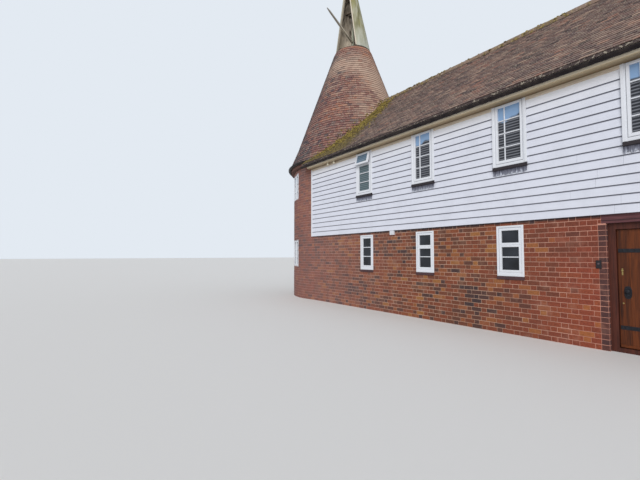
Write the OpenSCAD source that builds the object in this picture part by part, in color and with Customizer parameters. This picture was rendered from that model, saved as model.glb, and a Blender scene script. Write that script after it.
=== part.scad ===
// Oast house: a round brick kiln with a tiled cone and a turning cowl, at the
// end of a two-storey stowage of brick below and weatherboard above.
// X runs along the stowage, the front faces -Y, and Z = 0 is the ground.
// Inside the modules X = 0, Y = 0 is the axis of the kiln.

/* [Stowage] */
// Distance from one window axis to the next
bay = 2020; // [1900:10:2400]
// Number of window bays
bay_count = 5; // [4:1:6]
// Kiln axis to the first window axis
first_bay = 3060; // [2950:10:3400]
// Last window axis to the brick face of the gable
end_margin = 1060; // [900:10:1400]
// Top of the ground floor
floor_top = 60; // [40:5:90]
// Height of the brick walls
brick_height = 2170; // [2100:5:2400]
// Thickness of the brick walls
brick_wall = 330; // [290:5:450]
// Thickness of the upper floor, which lies on the brick walls
upper_floor_depth = 230; // [150:5:300]
// Thickness of the framed upper walls
stud_wall = 130; // [100:5:180]
// Top of the brick walls to the underside of the eaves boards
upper_wall_height = 2291; // [2100:1:2500]
// How far the weatherboards stand in front of the brick
board_depth = 50; // [30:1:80]
// How far the weatherboards hang below the top of the brick
board_lap = 15; // [0:1:40]
// Width of the upright boards that end the weatherboarding at the kiln
end_board = 45; // [30:1:60]

/* [Roof] */
// Pitch of the stowage roof
roof_pitch = 42.4; // [38:0.1:50]
// Lowest tile edge above the underside of the eaves boards
tile_edge_rise = 183; // [165:1:220]
// Lowest tile edge in front of the weatherboards
tile_overhang = 284; // [260:2:340]
// Depth of rafters and tiles together
roof_depth = 130; // [100:5:160]
// Depth of the tiles alone
tile_depth = 35; // [25:1:50]
// Roof past the weatherboards of the gable
verge_overhang = 60; // [40:5:120]
// Radius of the half-round ridge tiles
ridge_tile_radius = 115; // [90:5:150]
// Thickness of the ridge tiles
ridge_tile_wall = 22; // [15:1:35]

/* [Eaves] */
// Fascia in front of the weatherboards
eaves_overhang = 224; // [180:2:240]
// Thickness of the eaves boards and barge boards
eaves_board = 25; // [18:1:30]
// Depth of the barge boards on the gable
barge_depth = 180; // [140:5:240]
// Outer radius of the half-round gutters
gutter_radius = 57; // [45:1:65]
// Wall of the gutters
gutter_wall = 6; // [4:0.5:10]
// Lowest point of the straight gutters above the eaves boards
gutter_rise = 40; // [20:1:55]

/* [Kiln] */
// Radius of the outer brick face
kiln_radius = 2332; // [2250:2:2400]
// Top of the kiln wall above the underside of the stowage eaves
kiln_wall_rise = 159; // [120:1:400]
// Top of the kiln wall to the foot of the cone
kiln_eaves_depth = 180; // [150:5:240]
// Kiln soffit above the top of the kiln wall
kiln_soffit_rise = 40; // [20:5:60]
// Tiles at the foot of the cone past the brick face
cone_overhang = 153; // [130:1:180]
// Height of the flared foot of the cone
flare_height = 700; // [500:10:900]
// Tiles at the top of the flared foot behind the brick face
flare_inset = 157; // [130:1:200]
// Height of the whole cone
cone_height = 4700; // [4200:10:5200]
// Radius of the tiles at the top of the cone
cone_top_radius = 715; // [650:1:780]
// Width of the timber plate on the kiln wall
plate_width = 250; // [200:10:300]
// Thickness of the drying floor
drying_floor_depth = 200; // [120:5:240]

/* [Cowl] */
// Foot of the cowl inside the edge of the cone
cowl_inset = 20; // [0:1:40]
// Radius of the cowl at its top
cowl_top_radius = 140; // [125:5:180]
// Length of the cowl along its leaning axis
cowl_length = 3010; // [2700:10:3300]
// Lean of the cowl towards its mouth
cowl_lean = 5; // [2:0.5:6]
// Thickness of the cowl boards
cowl_board = 26; // [20:1:32]
// Half the width of the mouth at the foot of the cowl
mouth_half_width = 452; // [380:2:480]
// Half the width of the mouth at its head
mouth_head_half = 40; // [30:2:80]
// Cowl closed above the mouth
mouth_head = 260; // [200:10:400]
// Direction that the mouth faces, seen from above
cowl_heading = -69; // [-180:1:180]
// Height of the cap at the top of the cowl
cap_height = 110; // [80:5:160]
// Gap between the cone and the cowl
cowl_gap = 60; // [40:2:90]
// Radius of the turning post
post_radius = 45; // [35:1:55]
// Clearance of the post in its upper bearing
post_clearance = 5; // [5:1:8]
// Upper bearing to lower bearing
bearing_spacing = 900; // [700:10:1100]
// Length of the arm from the post to its tip
vane_length = 1980; // [1700:10:2300]
// Rise of the arm
vane_rise = 8; // [0:1:12]
// Thickness of the arm
vane_size = 66; // [50:2:90]

/* [Windows] */
// Width of the upper windows with their casings
upper_window_width = 640; // [560:10:760]
// Height of the upper windows with their casings
upper_window_height = 1216; // [1000:2:1400]
// Width of the casings beside the glass
casing_width = 110; // [90:1:130]
// Opening angle of the first fanlight
fanlight_swing = 14; // [5:1:30]
// Width of the lower windows
lower_window_width = 505; // [440:5:620]
// Height of the lower windows
lower_window_height = 978; // [850:2:1100]
// Tops of the lower windows below the top of the brick walls
lower_head_drop = 88; // [60:1:110]
// First lower window to the right of the upper one
lower_shift = 35; // [0:5:60]
// How much closer together the lower windows stand
lower_bay_less = 45; // [0:5:60]
// Width of the kiln windows
kiln_window_width = 860; // [700:10:960]
// Height of the upper kiln windows
kiln_window_height = 969; // [800:1:1100]
// Tops of the upper kiln windows below the top of the kiln wall
kiln_head_drop = 75; // [60:1:150]
// Direction of the kiln windows, seen from above
kiln_window_heading = -112; // [-120:1:-105]

/* [Door] */
// Width of the brick opening of the door
door_opening = 1080; // [960:10:1220]
// Left side of the door opening from the window axis above it
door_offset = -580; // [-640:5:-520]
// Depth of the lintel over the door
lintel_depth = 153; // [110:1:180]
// How far the door frame stands behind the brick face
door_setback = 70; // [40:5:100]
// Depth of the door frame, from front to back
door_frame_depth = 90; // [70:5:120]
// Width of the jambs and the head of the door frame
jamb_width = 100; // [80:1:120]
// Thickness of the door leaf
leaf_thickness = 45; // [38:1:50]

/* [Hidden] */
$fn = 180;

brick_red = "#9c5a48";
tile_brown = "#7d5f55";
paint_white = "#e4e6ea";
timber = "#8a6b4a";
black_iron = "#26282c";

// A solid that reaches past everything, for cutting
far = 20000;
// How far a cutter runs past the face that it cuts
past = 20;
// Thinnest edge of a wall where it meets the round kiln
wedge_toe = 12;

// Gap at slanted seats, so that the pieces touch and don't overlap
bedding = 0.1;

// Heights of the stowage
upper_floor_top = brick_height + upper_floor_depth;
board_bottom = brick_height - board_lap;
soffit_height = brick_height + upper_wall_height;
tile_edge_height = soffit_height + tile_edge_rise;

// Faces of the stowage, measured from its middle line
brick_face = kiln_radius - board_depth;
brick_inner = brick_face - brick_wall;
stud_inner = brick_face - stud_wall;
board_face = kiln_radius;
fascia_face = board_face + eaves_overhang;
rafter_end = fascia_face - eaves_board;
tile_edge = board_face + tile_overhang;
gutter_axis = fascia_face + gutter_radius;

// Right end of the stowage
gable_face = first_bay + (bay_count - 1) * bay + end_margin;
gable_inner = gable_face - brick_wall;
gable_stud_inner = gable_face - stud_wall;
gable_board_face = gable_face + board_depth;
verge_x = gable_board_face + verge_overhang;

// Left ends, where the straight pieces meet the round kiln, in whole millimetres
function kiln_meet(y) = ceil(sqrt(pow(kiln_radius, 2) - pow(y, 2)));
brick_start = kiln_meet(brick_face - wedge_toe);
stud_floor_start = kiln_meet(stud_inner - wedge_toe);
floor_start = kiln_meet(brick_inner - wedge_toe);
board_start = kiln_meet(brick_face);
// How far the roof and the gutter run on past the weatherboards, to the eaves of the kiln
eaves_return = 231;
roof_start = board_start - eaves_return;

// Slope of the roof
ridge_height = round(tile_edge_height + tile_edge * tan(roof_pitch));
roof_slope = (ridge_height - tile_edge_height) / tile_edge;
roof_drop = roof_depth * sqrt(1 + pow(roof_slope, 2));
tile_drop = tile_depth * sqrt(1 + pow(roof_slope, 2));

// Kiln and cone
kiln_inner = kiln_radius - brick_wall;
kiln_height = soffit_height + kiln_wall_rise;
kiln_soffit = kiln_height + kiln_soffit_rise;
cone_base_height = kiln_height + kiln_eaves_depth;
cone_base_radius = kiln_radius + cone_overhang;
flare_top_height = cone_base_height + flare_height;
flare_top_radius = kiln_radius - flare_inset;
cone_top_height = cone_base_height + cone_height;
cone_taper = (flare_top_radius - cone_top_radius) / (cone_height - flare_height);
cone_depth = roof_depth * sqrt(1 + pow(cone_taper, 2));
rafter_top_radius = cone_top_radius - cone_depth;
rafter_foot_radius = rafter_top_radius + cone_height * cone_taper;

// Directions of the upright joints in the kiln wall, from the middle line of the stowage
inner_joint = 75;
left_joint = 150;

// Gutter of the kiln: the tiles reach past its inner lip
gutter_lap = 36;
kiln_gutter_axis = cone_base_radius + gutter_radius - gutter_lap;

// Overall box, used to put the origin in the middle of the base
box_left = -(kiln_gutter_axis + gutter_radius);
middle_x = (box_left + verge_x) / 2;

// Windows
window_axes = [for (i = [0 : bay_count - 1]) first_bay + i * bay];
casing_proud = 14;
window_face = board_face + casing_proud;
frame_depth = 70;
frame_member = 52;
lower_side = 100;
lower_head = 110;
lower_foot = 129;
glass_depth = 12;
upper_window_top = soffit_height;
upper_window_bottom = upper_window_top - upper_window_height;
casing_head = 40;
casing_foot = 115;
glass_width = upper_window_width - 2 * casing_width;
fanlight_height = 282;
fanlight_rail = 32;
sash_member = 50;
sash_depth = 45;
sash_pin = 8;
lower_window_top = brick_height - lower_head_drop;
lower_window_bottom = lower_window_top - lower_window_height;
transom_drop = 344;
transom_depth = 77;
kiln_upper_top = kiln_height - kiln_head_drop;
kiln_upper_bottom = kiln_upper_top - kiln_window_height;
kiln_chord = floor(sqrt(pow(kiln_radius, 2) - pow(kiln_window_width / 2, 2)));
sill_proud = 25;
sill_depth = 62;
apron_depth = 150;
apron_lead = 8;
tile_sill_depth = 50;

// Door
door_bay = 3;
door_left = window_axes[door_bay] + door_offset;
door_right = door_left + door_opening;
lower_row = [for (i = [0 : bay_count - 1]) window_axes[i] + lower_shift - i * lower_bay_less];
lower_axes = [for (i = [0 : bay_count - 1]) if (i != door_bay) lower_row[i]];
door_head = brick_height - lintel_depth;
lintel_bearing = 60;
door_gap = 5;
threshold_top = floor_top + 10;
frame_front = -(brick_face - door_setback);
frame_back = frame_front + door_frame_depth;
leaf_left = door_left + jamb_width + door_gap;
leaf_right = door_right - jamb_width - door_gap;
leaf_bottom = threshold_top + door_gap;
leaf_top = door_head - jamb_width - door_gap;
leaf_front = frame_back - leaf_thickness;
ledge_width = 130;
ledge_depth = 24;
ledge_margin = 45;
strap_insets = [308, 332];
strap_width = 50;
strap_thickness = 6;
strap_heights = [leaf_bottom + strap_insets[0], leaf_top - strap_insets[1]];
plate_inset = 70;
handle_plate = [90, 40, 200];
handle_height = 755;
latch_inset = 55;
latch_height = 1195;
latch_radius = 16;
latch_depth = 14;

// Hinges of the door
hinge_radius = 9;
hinge_pin = 5;
hinge_flap = 45;
knuckle = 35;
knuckle_gap = 1;
knuckle_step = knuckle + knuckle_gap;
hinge_insets = [200, 300];
hinge_heights = [leaf_bottom + hinge_insets[0], leaf_top - hinge_insets[1]];
hinge_x = leaf_right + door_gap / 2;
hinge_y = frame_back + hinge_radius;

// Fittings on the front wall
bell_inset = 70;
bell_size = [72, 24, 130];
bell_height = 1297;
wall_box_inset = 950;
wall_box_size = [135, 60, 110];
wall_box_drop = 5;
lamp_insets = [1250, 1560];
lamp_radius = 38;
lamp_height = 70;
lamp_reach = 110;

// Cowl
cowl_radius = cone_top_radius - cowl_inset;
cowl_foot = cone_top_height + cowl_gap;
curb_inset = 100;
curb_width = 90;
post_shortfall = 860;
post_top = cowl_foot + cowl_length - post_shortfall;
bearing_depth = 110;
bearing_width = 130;
lower_bearing_top = cone_top_height - bearing_spacing;
socket_depth = 60;
socket_gap = 1;
arm_width = 60;
lower_arm_rise = 120;
upper_arm_drop = 400;
arm_heights = [cowl_foot + lower_arm_rise, post_top - upper_arm_drop];
vane_foot_rise = 470;
vane_height = cowl_foot + vane_foot_rise;
cheek_width = 94;
cheek_proud = 24;
cap_overlap = 20;
cap_top_radius = 60;

function roof_z(y) = tile_edge_height + (tile_edge - abs(y)) * roof_slope;

module placed() {
    translate([-middle_x, 0, 0]) children();
}

// Box between two corners
module block(low, high) {
    translate(low) cube(high - low);
}

// The same piece at the front and, mirrored, at the back
module front_and_back() {
    children();
    mirror([0, 1, 0]) children();
}

// Outside of the tiled cone, with its flared foot
module cone_outside() {
    translate([0, 0, cone_base_height])
        cylinder(r1 = cone_base_radius, r2 = flare_top_radius, h = flare_height);
    translate([0, 0, flare_top_height])
        cylinder(r1 = flare_top_radius, r2 = cone_top_radius, h = cone_height - flare_height);
}

// Space under the rafters of the cone, run on past both ends
module cone_inside(run_on = past) {
    translate([0, 0, cone_base_height - run_on])
        cylinder(r1 = rafter_foot_radius + run_on * cone_taper,
            r2 = rafter_top_radius - run_on * cone_taper, h = cone_height + 2 * run_on);
}

// The brick cylinder and the cone, which end every piece of the stowage
module kiln_envelope() {
    translate([0, 0, -past]) cylinder(r = kiln_radius, h = cone_base_height + past);
    cone_outside();
}

// Everything above the underside of the roof
module above_rafters(drop = roof_drop + bedding) {
    translate([-far / 2, 0, 0]) rotate([90, 0, 90])
        linear_extrude(height = 2 * far)
            polygon([
                [0, ridge_height - drop], [tile_edge, tile_edge_height - drop],
                [tile_edge, far], [-tile_edge, far], [-tile_edge, tile_edge_height - drop]
            ]);
}

// Openings through the front wall, left open for the frames
module upper_openings(reach_out, reach_in) {
    for (x = window_axes)
        block([x - upper_window_width / 2, -brick_face - reach_out, upper_window_bottom],
            [x + upper_window_width / 2, -brick_face + reach_in, upper_window_top]);
}

module lower_openings(axes) {
    for (x = axes)
        block([x - lower_window_width / 2, -brick_face - past, lower_window_bottom],
            [x + lower_window_width / 2, -brick_inner + past, lower_window_top]);
}

module gable_openings(width, bottom, top, outer, inner) {
    block([inner - past, -width / 2, bottom], [outer + past, width / 2, top]);
}

// Ground floor of the stowage, between its walls and the kiln, run out to the door frame
module stowage_floor() {
    color("#9a958c") placed() difference() {
        union() {
            block([floor_start, -brick_inner, 0], [gable_inner, brick_inner, floor_top]);
            block([door_left, frame_back, 0], [door_right, -brick_inner + past, floor_top]);
        }
        kiln_envelope();
    }
}

// Ground floor of the kiln
module kiln_floor() {
    color("#9a958c") placed() cylinder(r = kiln_inner, h = floor_top);
}

// Pockets at the top of the front wall for the ends of the lintel
module lintel_pocket(widen = 0) {
    block([door_left - lintel_bearing, -brick_face - widen, door_head],
        [door_right + lintel_bearing, -brick_inner + widen, brick_height + widen]);
}

module front_wall_left() {
    color(brick_red) placed() difference() {
        block([brick_start, -brick_face, 0], [door_left, -brick_inner, brick_height]);
        lower_openings(lower_axes);
        lintel_pocket(past);
        kiln_envelope();
    }
}

module front_wall_right() {
    color(brick_red) placed() difference() {
        block([door_right, -brick_face, 0], [gable_face, -brick_inner, brick_height]);
        lower_openings(lower_axes);
        lintel_pocket(past);
    }
}

// Timber lintel over the front door
module door_lintel() {
    color("#6b4436") placed() lintel_pocket();
}

module back_wall() {
    color(brick_red) placed() mirror([0, 1, 0]) difference() {
        block([brick_start, -brick_face, 0], [gable_face, -brick_inner, brick_height]);
        lower_openings(lower_row);
        kiln_envelope();
    }
}

module gable_wall() {
    color(brick_red) placed() difference() {
        block([gable_inner, -brick_inner, 0], [gable_face, brick_inner, brick_height]);
        gable_openings(lower_window_width, lower_window_bottom, lower_window_top,
            gable_face, gable_inner);
    }
}

// Framed wall of the upper storey, up to the underside of the rafters
module long_upper_wall() {
    difference() {
        block([brick_start, -brick_face, brick_height],
            [gable_face, -stud_inner, roof_z(stud_inner)]);
        upper_openings(past, stud_wall + past);
        above_rafters();
        kiln_envelope();
    }
}

module front_upper_wall() {
    color("#c9bfa9") placed() long_upper_wall();
}

module back_upper_wall() {
    color("#c9bfa9") placed() mirror([0, 1, 0]) long_upper_wall();
}

// Framed gable, up into the triangle of the roof
module gable_upper_wall() {
    color("#c9bfa9") placed() difference() {
        block([gable_stud_inner, -stud_inner, brick_height], [gable_face, stud_inner, ridge_height]);
        gable_openings(upper_window_width, upper_window_bottom, upper_window_top,
            gable_face, gable_stud_inner);
        above_rafters();
    }
}

module long_weatherboarding() {
    difference() {
        block([board_start, -board_face, board_bottom], [gable_face, -brick_face, soffit_height]);
        upper_openings(board_depth + past, past);
    }
}

module front_weatherboarding() {
    color(paint_white) placed() long_weatherboarding();
}

module back_weatherboarding() {
    color(paint_white) placed() mirror([0, 1, 0]) long_weatherboarding();
}

module gable_weatherboarding() {
    color(paint_white) placed() difference() {
        block([gable_face, -brick_face, board_bottom], [gable_board_face, brick_face, ridge_height]);
        gable_openings(upper_window_width, upper_window_bottom, upper_window_top,
            gable_board_face, gable_face);
        above_rafters();
    }
}

// Square boards that close the outer corners of the weatherboarding, and upright boards
// that end it at the kiln, just clear of the round wall
module corner_boards() {
    kiln_side = ceil(sqrt(pow(kiln_radius, 2) - pow(board_start - end_board, 2))) + 1;
    color(paint_white) placed() front_and_back() {
        block([gable_face, -board_face, board_bottom],
            [gable_board_face, -brick_face, soffit_height]);
        block([board_start - end_board, -window_face, board_bottom],
            [board_start, -kiln_side, soffit_height]);
    }
}

module upper_floor() {
    color(timber) placed() difference() {
        block([stud_floor_start, -stud_inner, brick_height],
            [gable_stud_inner, stud_inner, upper_floor_top]);
        kiln_envelope();
    }
}

// Wedge seen from above, between two directions
module sector(start, end) {
    reach = 2 * kiln_radius;
    middle = (start + end) / 2;
    translate([0, 0, -past]) linear_extrude(height = cone_base_height)
        polygon([
            [0, 0], reach * [cos(start), sin(start)],
            reach * 1.4 * [cos(middle), sin(middle)], reach * [cos(end), sin(end)]
        ]);
}

// Straight opening through the round wall, in the direction of a window
module kiln_opening(bottom, top) {
    reach_in = kiln_radius - kiln_chord + past;
    rotate(kiln_window_heading)
        block([kiln_inner - reach_in, -kiln_window_width / 2, bottom],
            [kiln_radius + past, kiln_window_width / 2, top]);
}

module kiln_openings() {
    front_and_back() {
        kiln_opening(lower_window_bottom, lower_window_top);
        kiln_opening(kiln_upper_bottom, kiln_upper_top);
    }
}

module kiln_wall(start, end) {
    color(brick_red) placed() intersection() {
        difference() {
            cylinder(r = kiln_radius, h = kiln_height);
            translate([0, 0, -past]) cylinder(r = kiln_inner, h = kiln_height + 2 * past);
            kiln_openings();
        }
        sector(start, end);
    }
}

module kiln_wall_front() {
    kiln_wall(-left_joint, -inner_joint);
}

module kiln_wall_left() {
    kiln_wall(left_joint, 360 - left_joint);
}

module kiln_wall_back() {
    kiln_wall(inner_joint, left_joint);
}

module kiln_wall_inner() {
    kiln_wall(-inner_joint, inner_joint);
}

module drying_floor() {
    color(timber) placed() translate([0, 0, upper_floor_top - drying_floor_depth])
        cylinder(r = kiln_inner, h = drying_floor_depth);
}

// Timber plate on the kiln wall, boxed out to carry the gutter outside
module kiln_eaves() {
    color("#5a4636") placed() {
        difference() {
            translate([0, 0, kiln_height]) cylinder(r = kiln_radius, h = kiln_eaves_depth);
            translate([0, 0, kiln_height - past])
                cylinder(r = kiln_radius - plate_width, h = kiln_eaves_depth + 2 * past);
        }
        difference() {
            translate([0, 0, kiln_soffit])
                cylinder(r = kiln_gutter_axis - gutter_radius, h = cone_base_height - kiln_soffit);
            translate([0, 0, kiln_soffit - past]) cylinder(r = kiln_radius, h = kiln_eaves_depth);
            block([roof_start, -far / 2, 0], [far, far / 2, far]);
        }
    }
}

// Half-round channel, cut along its open top
module gutter_profile() {
    difference() {
        circle(r = gutter_radius);
        circle(r = gutter_radius - gutter_wall);
        translate([-2 * gutter_radius, 0]) square(4 * gutter_radius);
    }
}

module kiln_gutter() {
    color(black_iron) placed() difference() {
        translate([0, 0, cone_base_height]) rotate_extrude()
            translate([kiln_gutter_axis, 0]) gutter_profile();
        block([roof_start, -far / 2, 0], [far, far / 2, far]);
    }
}

// Tiles and rafters of the cone; the foot flares out over the gutter
module kiln_roof() {
    color(tile_brown) placed() difference() {
        cone_outside();
        cone_inside();
    }
}

module cowl_curb() {
    curb_radius = cone_top_radius - curb_inset;
    color(timber) placed() translate([0, 0, cone_top_height]) difference() {
        cylinder(r = curb_radius, h = cowl_gap);
        translate([0, 0, -past]) cylinder(r = curb_radius - curb_width, h = cowl_gap + 2 * past);
    }
}

// A beam across the cone, cut off at the underside of the rafters
module bearing_beam(top) {
    intersection() {
        rotate(cowl_heading) block([-kiln_radius, -bearing_width / 2, top - bearing_depth],
            [kiln_radius, bearing_width / 2, top]);
        cone_inside(0);
    }
}

module cowl_bearings() {
    color(timber) placed() {
        difference() {
            bearing_beam(cone_top_height);
            translate([0, 0, cone_top_height - bearing_depth - past])
                cylinder(r = post_radius + post_clearance, h = bearing_depth + 2 * past);
        }
        difference() {
            bearing_beam(lower_bearing_top);
            translate([0, 0, lower_bearing_top - socket_depth])
                cylinder(r = post_radius + post_clearance, h = socket_depth + past);
        }
    }
}

// One roof slope: rafters up to the gable, tiles out over the gutter and the verge
module roof_slope_solid() {
    difference() {
        translate([roof_start, 0, 0]) rotate([90, 0, 90]) {
            linear_extrude(height = gable_board_face - roof_start) polygon([
                [0, ridge_height], [-rafter_end, roof_z(rafter_end)],
                [-rafter_end, roof_z(rafter_end) - roof_drop],
                [0, ridge_height - roof_drop]
            ]);
            linear_extrude(height = verge_x - roof_start) polygon([
                [0, ridge_height], [-tile_edge, tile_edge_height],
                [-tile_edge, tile_edge_height - tile_drop],
                [0, ridge_height - tile_drop]
            ]);
        }
        kiln_envelope();
    }
}

module roof_front() {
    color(tile_brown) placed() roof_slope_solid();
}

module roof_back() {
    color(tile_brown) placed() mirror([0, 1, 0]) roof_slope_solid();
}

// Half-round ridge tiles, bedded over the two slopes
module ridge_tiles() {
    crown = ridge_height - ridge_tile_radius / 2;
    color("#6f574c") placed() difference() {
        translate([0, 0, crown]) rotate([0, 90, 0]) difference() {
            cylinder(r = ridge_tile_radius, h = verge_x);
            translate([0, 0, -past])
                cylinder(r = ridge_tile_radius - ridge_tile_wall, h = verge_x + 2 * past);
        }
        translate([-past, 0, 0]) rotate([90, 0, 90]) linear_extrude(height = far)
            polygon([[0, ridge_height], [tile_edge, tile_edge_height], [0, 0],
                [-tile_edge, tile_edge_height]]);
        kiln_envelope();
    }
}

// Soffit board and fascia
module long_eaves() {
    difference() {
        union() {
            block([board_start, -fascia_face, soffit_height],
                [gable_board_face, -brick_face, soffit_height + eaves_board]);
            block([board_start, -fascia_face, soffit_height],
                [gable_board_face, -rafter_end, roof_z(rafter_end)]);
        }
        above_rafters(tile_drop + bedding);
    }
}

// Barge board under the verge tiles, widened at its foot to close the box of the eaves
module barge_board() {
    top = tile_drop + bedding;
    translate([gable_board_face + bedding, 0, 0]) rotate([90, 0, 90])
        linear_extrude(height = eaves_board)
        polygon([
            [0, ridge_height - top], [-fascia_face, roof_z(fascia_face) - top],
            [-fascia_face, soffit_height], [-brick_face, soffit_height],
            [-brick_face, roof_z(brick_face) - top - barge_depth],
            [0, ridge_height - top - barge_depth]
        ]);
}

module eaves_boards() {
    color("#d8cfbb") placed() front_and_back() {
        long_eaves();
        barge_board();
    }
}

// Straight gutters with their stop ends
module gutters() {
    length = verge_x - roof_start;
    axis_height = soffit_height + gutter_rise + gutter_radius;
    color(black_iron) placed() front_and_back()
        translate([roof_start, -gutter_axis, axis_height]) rotate([90, 0, 90]) {
            linear_extrude(height = length) gutter_profile();
            for (end = [0, length - gutter_wall])
                translate([0, 0, end]) linear_extrude(height = gutter_wall) intersection() {
                    circle(r = gutter_radius - gutter_wall / 2);
                    translate([-gutter_radius, -2 * gutter_radius]) square(2 * gutter_radius);
                }
        }
}

// A rectangular frame seen from the front: face at -Y, standing on z = 0
module window_frame(width, height, side, top, bottom, depth) {
    difference() {
        block([-width / 2, 0, 0], [width / 2, depth, height]);
        block([-width / 2 + side, -past, bottom], [width / 2 - side, depth + past, height - top]);
    }
}

// Casing of an upper window
module upper_casing() {
    window_frame(upper_window_width, upper_window_height, casing_width, casing_head, casing_foot,
        frame_depth);
}

module upper_pane(bottom, top) {
    block([-glass_width / 2, frame_depth / 2, bottom],
        [glass_width / 2, frame_depth / 2 + glass_depth, top]);
}

// Everything on the fanlight is drawn down from its hinge line, at z = 0
module at_fanlight() {
    translate([0, 0, upper_window_height - casing_head]) rotate([-fanlight_swing, 0, 0]) children();
}

// Rail under the first fanlight, and the fanlight itself, hung open at its head
module fanlight_window() {
    rail_top = upper_window_height - casing_head - fanlight_height;
    sash_width = glass_width + 2 * sash_member;
    upper_casing();
    block([-glass_width / 2, 0, rail_top - fanlight_rail], [glass_width / 2, frame_depth, rail_top]);
    at_fanlight() {
        translate([-sash_width / 2, 0, 0]) rotate([0, 90, 0]) cylinder(r = sash_pin, h = sash_width);
        translate([0, -sash_depth, -fanlight_height - sash_member])
            window_frame(sash_width, fanlight_height + sash_member, sash_member, sash_member,
                sash_member, sash_depth);
    }
}

module fanlight_panes() {
    rail_top = upper_window_height - casing_head - fanlight_height;
    upper_pane(casing_foot, rail_top - fanlight_rail);
    at_fanlight()
        block([-glass_width / 2, -(sash_depth + glass_depth) / 2, -fanlight_height],
            [glass_width / 2, -(sash_depth - glass_depth) / 2, -sash_member]);
}

module lower_window() {
    top = lower_window_height - transom_drop;
    half = lower_window_width / 2 - lower_side;
    window_frame(lower_window_width, lower_window_height, lower_side, lower_head, lower_foot,
        frame_depth);
    block([-half, 0, top - transom_depth], [half, frame_depth, top]);
}

module lower_panes() {
    half = lower_window_width / 2 - lower_side;
    near = frame_depth / 2;
    transom_top = lower_window_height - transom_drop;
    block([-half, near, lower_foot], [half, near + glass_depth, transom_top - transom_depth]);
    block([-half, near, transom_top],
        [half, near + glass_depth, lower_window_height - lower_head]);
}

// Put a window at the first place of the front, and at all other places of the upper storey
module at_first_place() {
    translate([window_axes[0], -window_face, upper_window_bottom]) children();
}

module at_other_upper_places() {
    for (i = [1 : bay_count - 1]) translate([window_axes[i], -window_face, upper_window_bottom]) children();
    mirror([0, 1, 0]) for (x = window_axes)
        translate([x, -window_face, upper_window_bottom]) children();
    translate([gable_face + window_face - brick_face, 0, upper_window_bottom])
        rotate([0, 0, 90]) children();
}

module at_lower_places() {
    for (x = lower_axes) translate([x, -brick_face, lower_window_bottom]) children();
    mirror([0, 1, 0]) for (x = lower_row)
        translate([x, -brick_face, lower_window_bottom]) children();
    translate([gable_face, 0, lower_window_bottom]) rotate([0, 0, 90]) children();
}

module upper_windows() {
    color(paint_white) placed() {
        at_first_place() fanlight_window();
        at_other_upper_places() upper_casing();
    }
}

module upper_glass() {
    color("#8fa9bd") placed() {
        at_first_place() fanlight_panes();
        at_other_upper_places() upper_pane(casing_foot, upper_window_height - casing_head);
        front_and_back() kiln_panes(kiln_upper_bottom, kiln_upper_top);
    }
}

module lower_windows() {
    color(paint_white) placed() at_lower_places() lower_window();
}

module lower_glass() {
    color("#8fa9bd") placed() {
        at_lower_places() lower_panes();
        front_and_back() kiln_panes(lower_window_bottom, lower_window_top);
    }
}

// Place of a kiln window: a flat frame in the round wall
module at_kiln_window(bottom) {
    rotate(kiln_window_heading) translate([kiln_chord, 0, bottom]) rotate([0, 0, 90]) children();
}

module kiln_window(bottom, top) {
    height = top - bottom;
    at_kiln_window(bottom) {
        window_frame(kiln_window_width, height, frame_member, frame_member, frame_member,
            frame_depth);
        block([-frame_member / 2, 0, frame_member],
            [frame_member / 2, frame_depth, height - frame_member]);
    }
}

module kiln_panes(bottom, top) {
    near = frame_member / 2;
    wide = kiln_window_width / 2 - frame_member;
    at_kiln_window(bottom) for (left = [-wide, near])
        block([left, frame_depth / 2, frame_member],
            [left + wide - near, frame_depth / 2 + glass_depth, top - bottom - frame_member]);
}

module kiln_windows() {
    color(paint_white) placed() front_and_back() {
        kiln_window(lower_window_bottom, lower_window_top);
        kiln_window(kiln_upper_bottom, kiln_upper_top);
    }
}

// Timber sill with its lead apron, under an upper window
module upper_sill() {
    proud = window_face - board_face;
    block([-upper_window_width / 2, -sill_proud, -sill_depth], [upper_window_width / 2, proud, 0]);
    block([-upper_window_width / 2, proud - apron_lead, -apron_depth],
        [upper_window_width / 2, proud, -sill_depth]);
}

module window_sills() {
    color("#7a6a66") placed() {
        at_first_place() upper_sill();
        at_other_upper_places() upper_sill();
        at_lower_places()
            block([-lower_window_width / 2, -sill_proud, -tile_sill_depth],
                [lower_window_width / 2, 0, 0]);
    }
}

// One knuckle with its flap; the flap reaches to one side of the pin
module hinge_knuckle(side) {
    translate([hinge_x, hinge_y, 0]) cylinder(r = hinge_radius, h = knuckle);
    block([min(hinge_x, hinge_x + side * hinge_flap), frame_back, 0],
        [max(hinge_x, hinge_x + side * hinge_flap), hinge_y - hinge_pin, knuckle]);
}

// Frame of the front door, with its threshold and its half of the hinges
module door_frame() {
    color("#5d3427") placed() {
        difference() {
            block([door_left, frame_front, 0], [door_right, frame_back, door_head]);
            block([door_left + jamb_width, frame_front - past, threshold_top],
                [door_right - jamb_width, frame_back + past, door_head - jamb_width]);
        }
        for (z = hinge_heights) translate([0, 0, z]) {
            hinge_knuckle(1);
            translate([0, 0, 2 * knuckle_step]) hinge_knuckle(1);
            translate([hinge_x, hinge_y, 0]) cylinder(r = hinge_pin, h = 2 * knuckle_step + knuckle);
        }
    }
}

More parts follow.
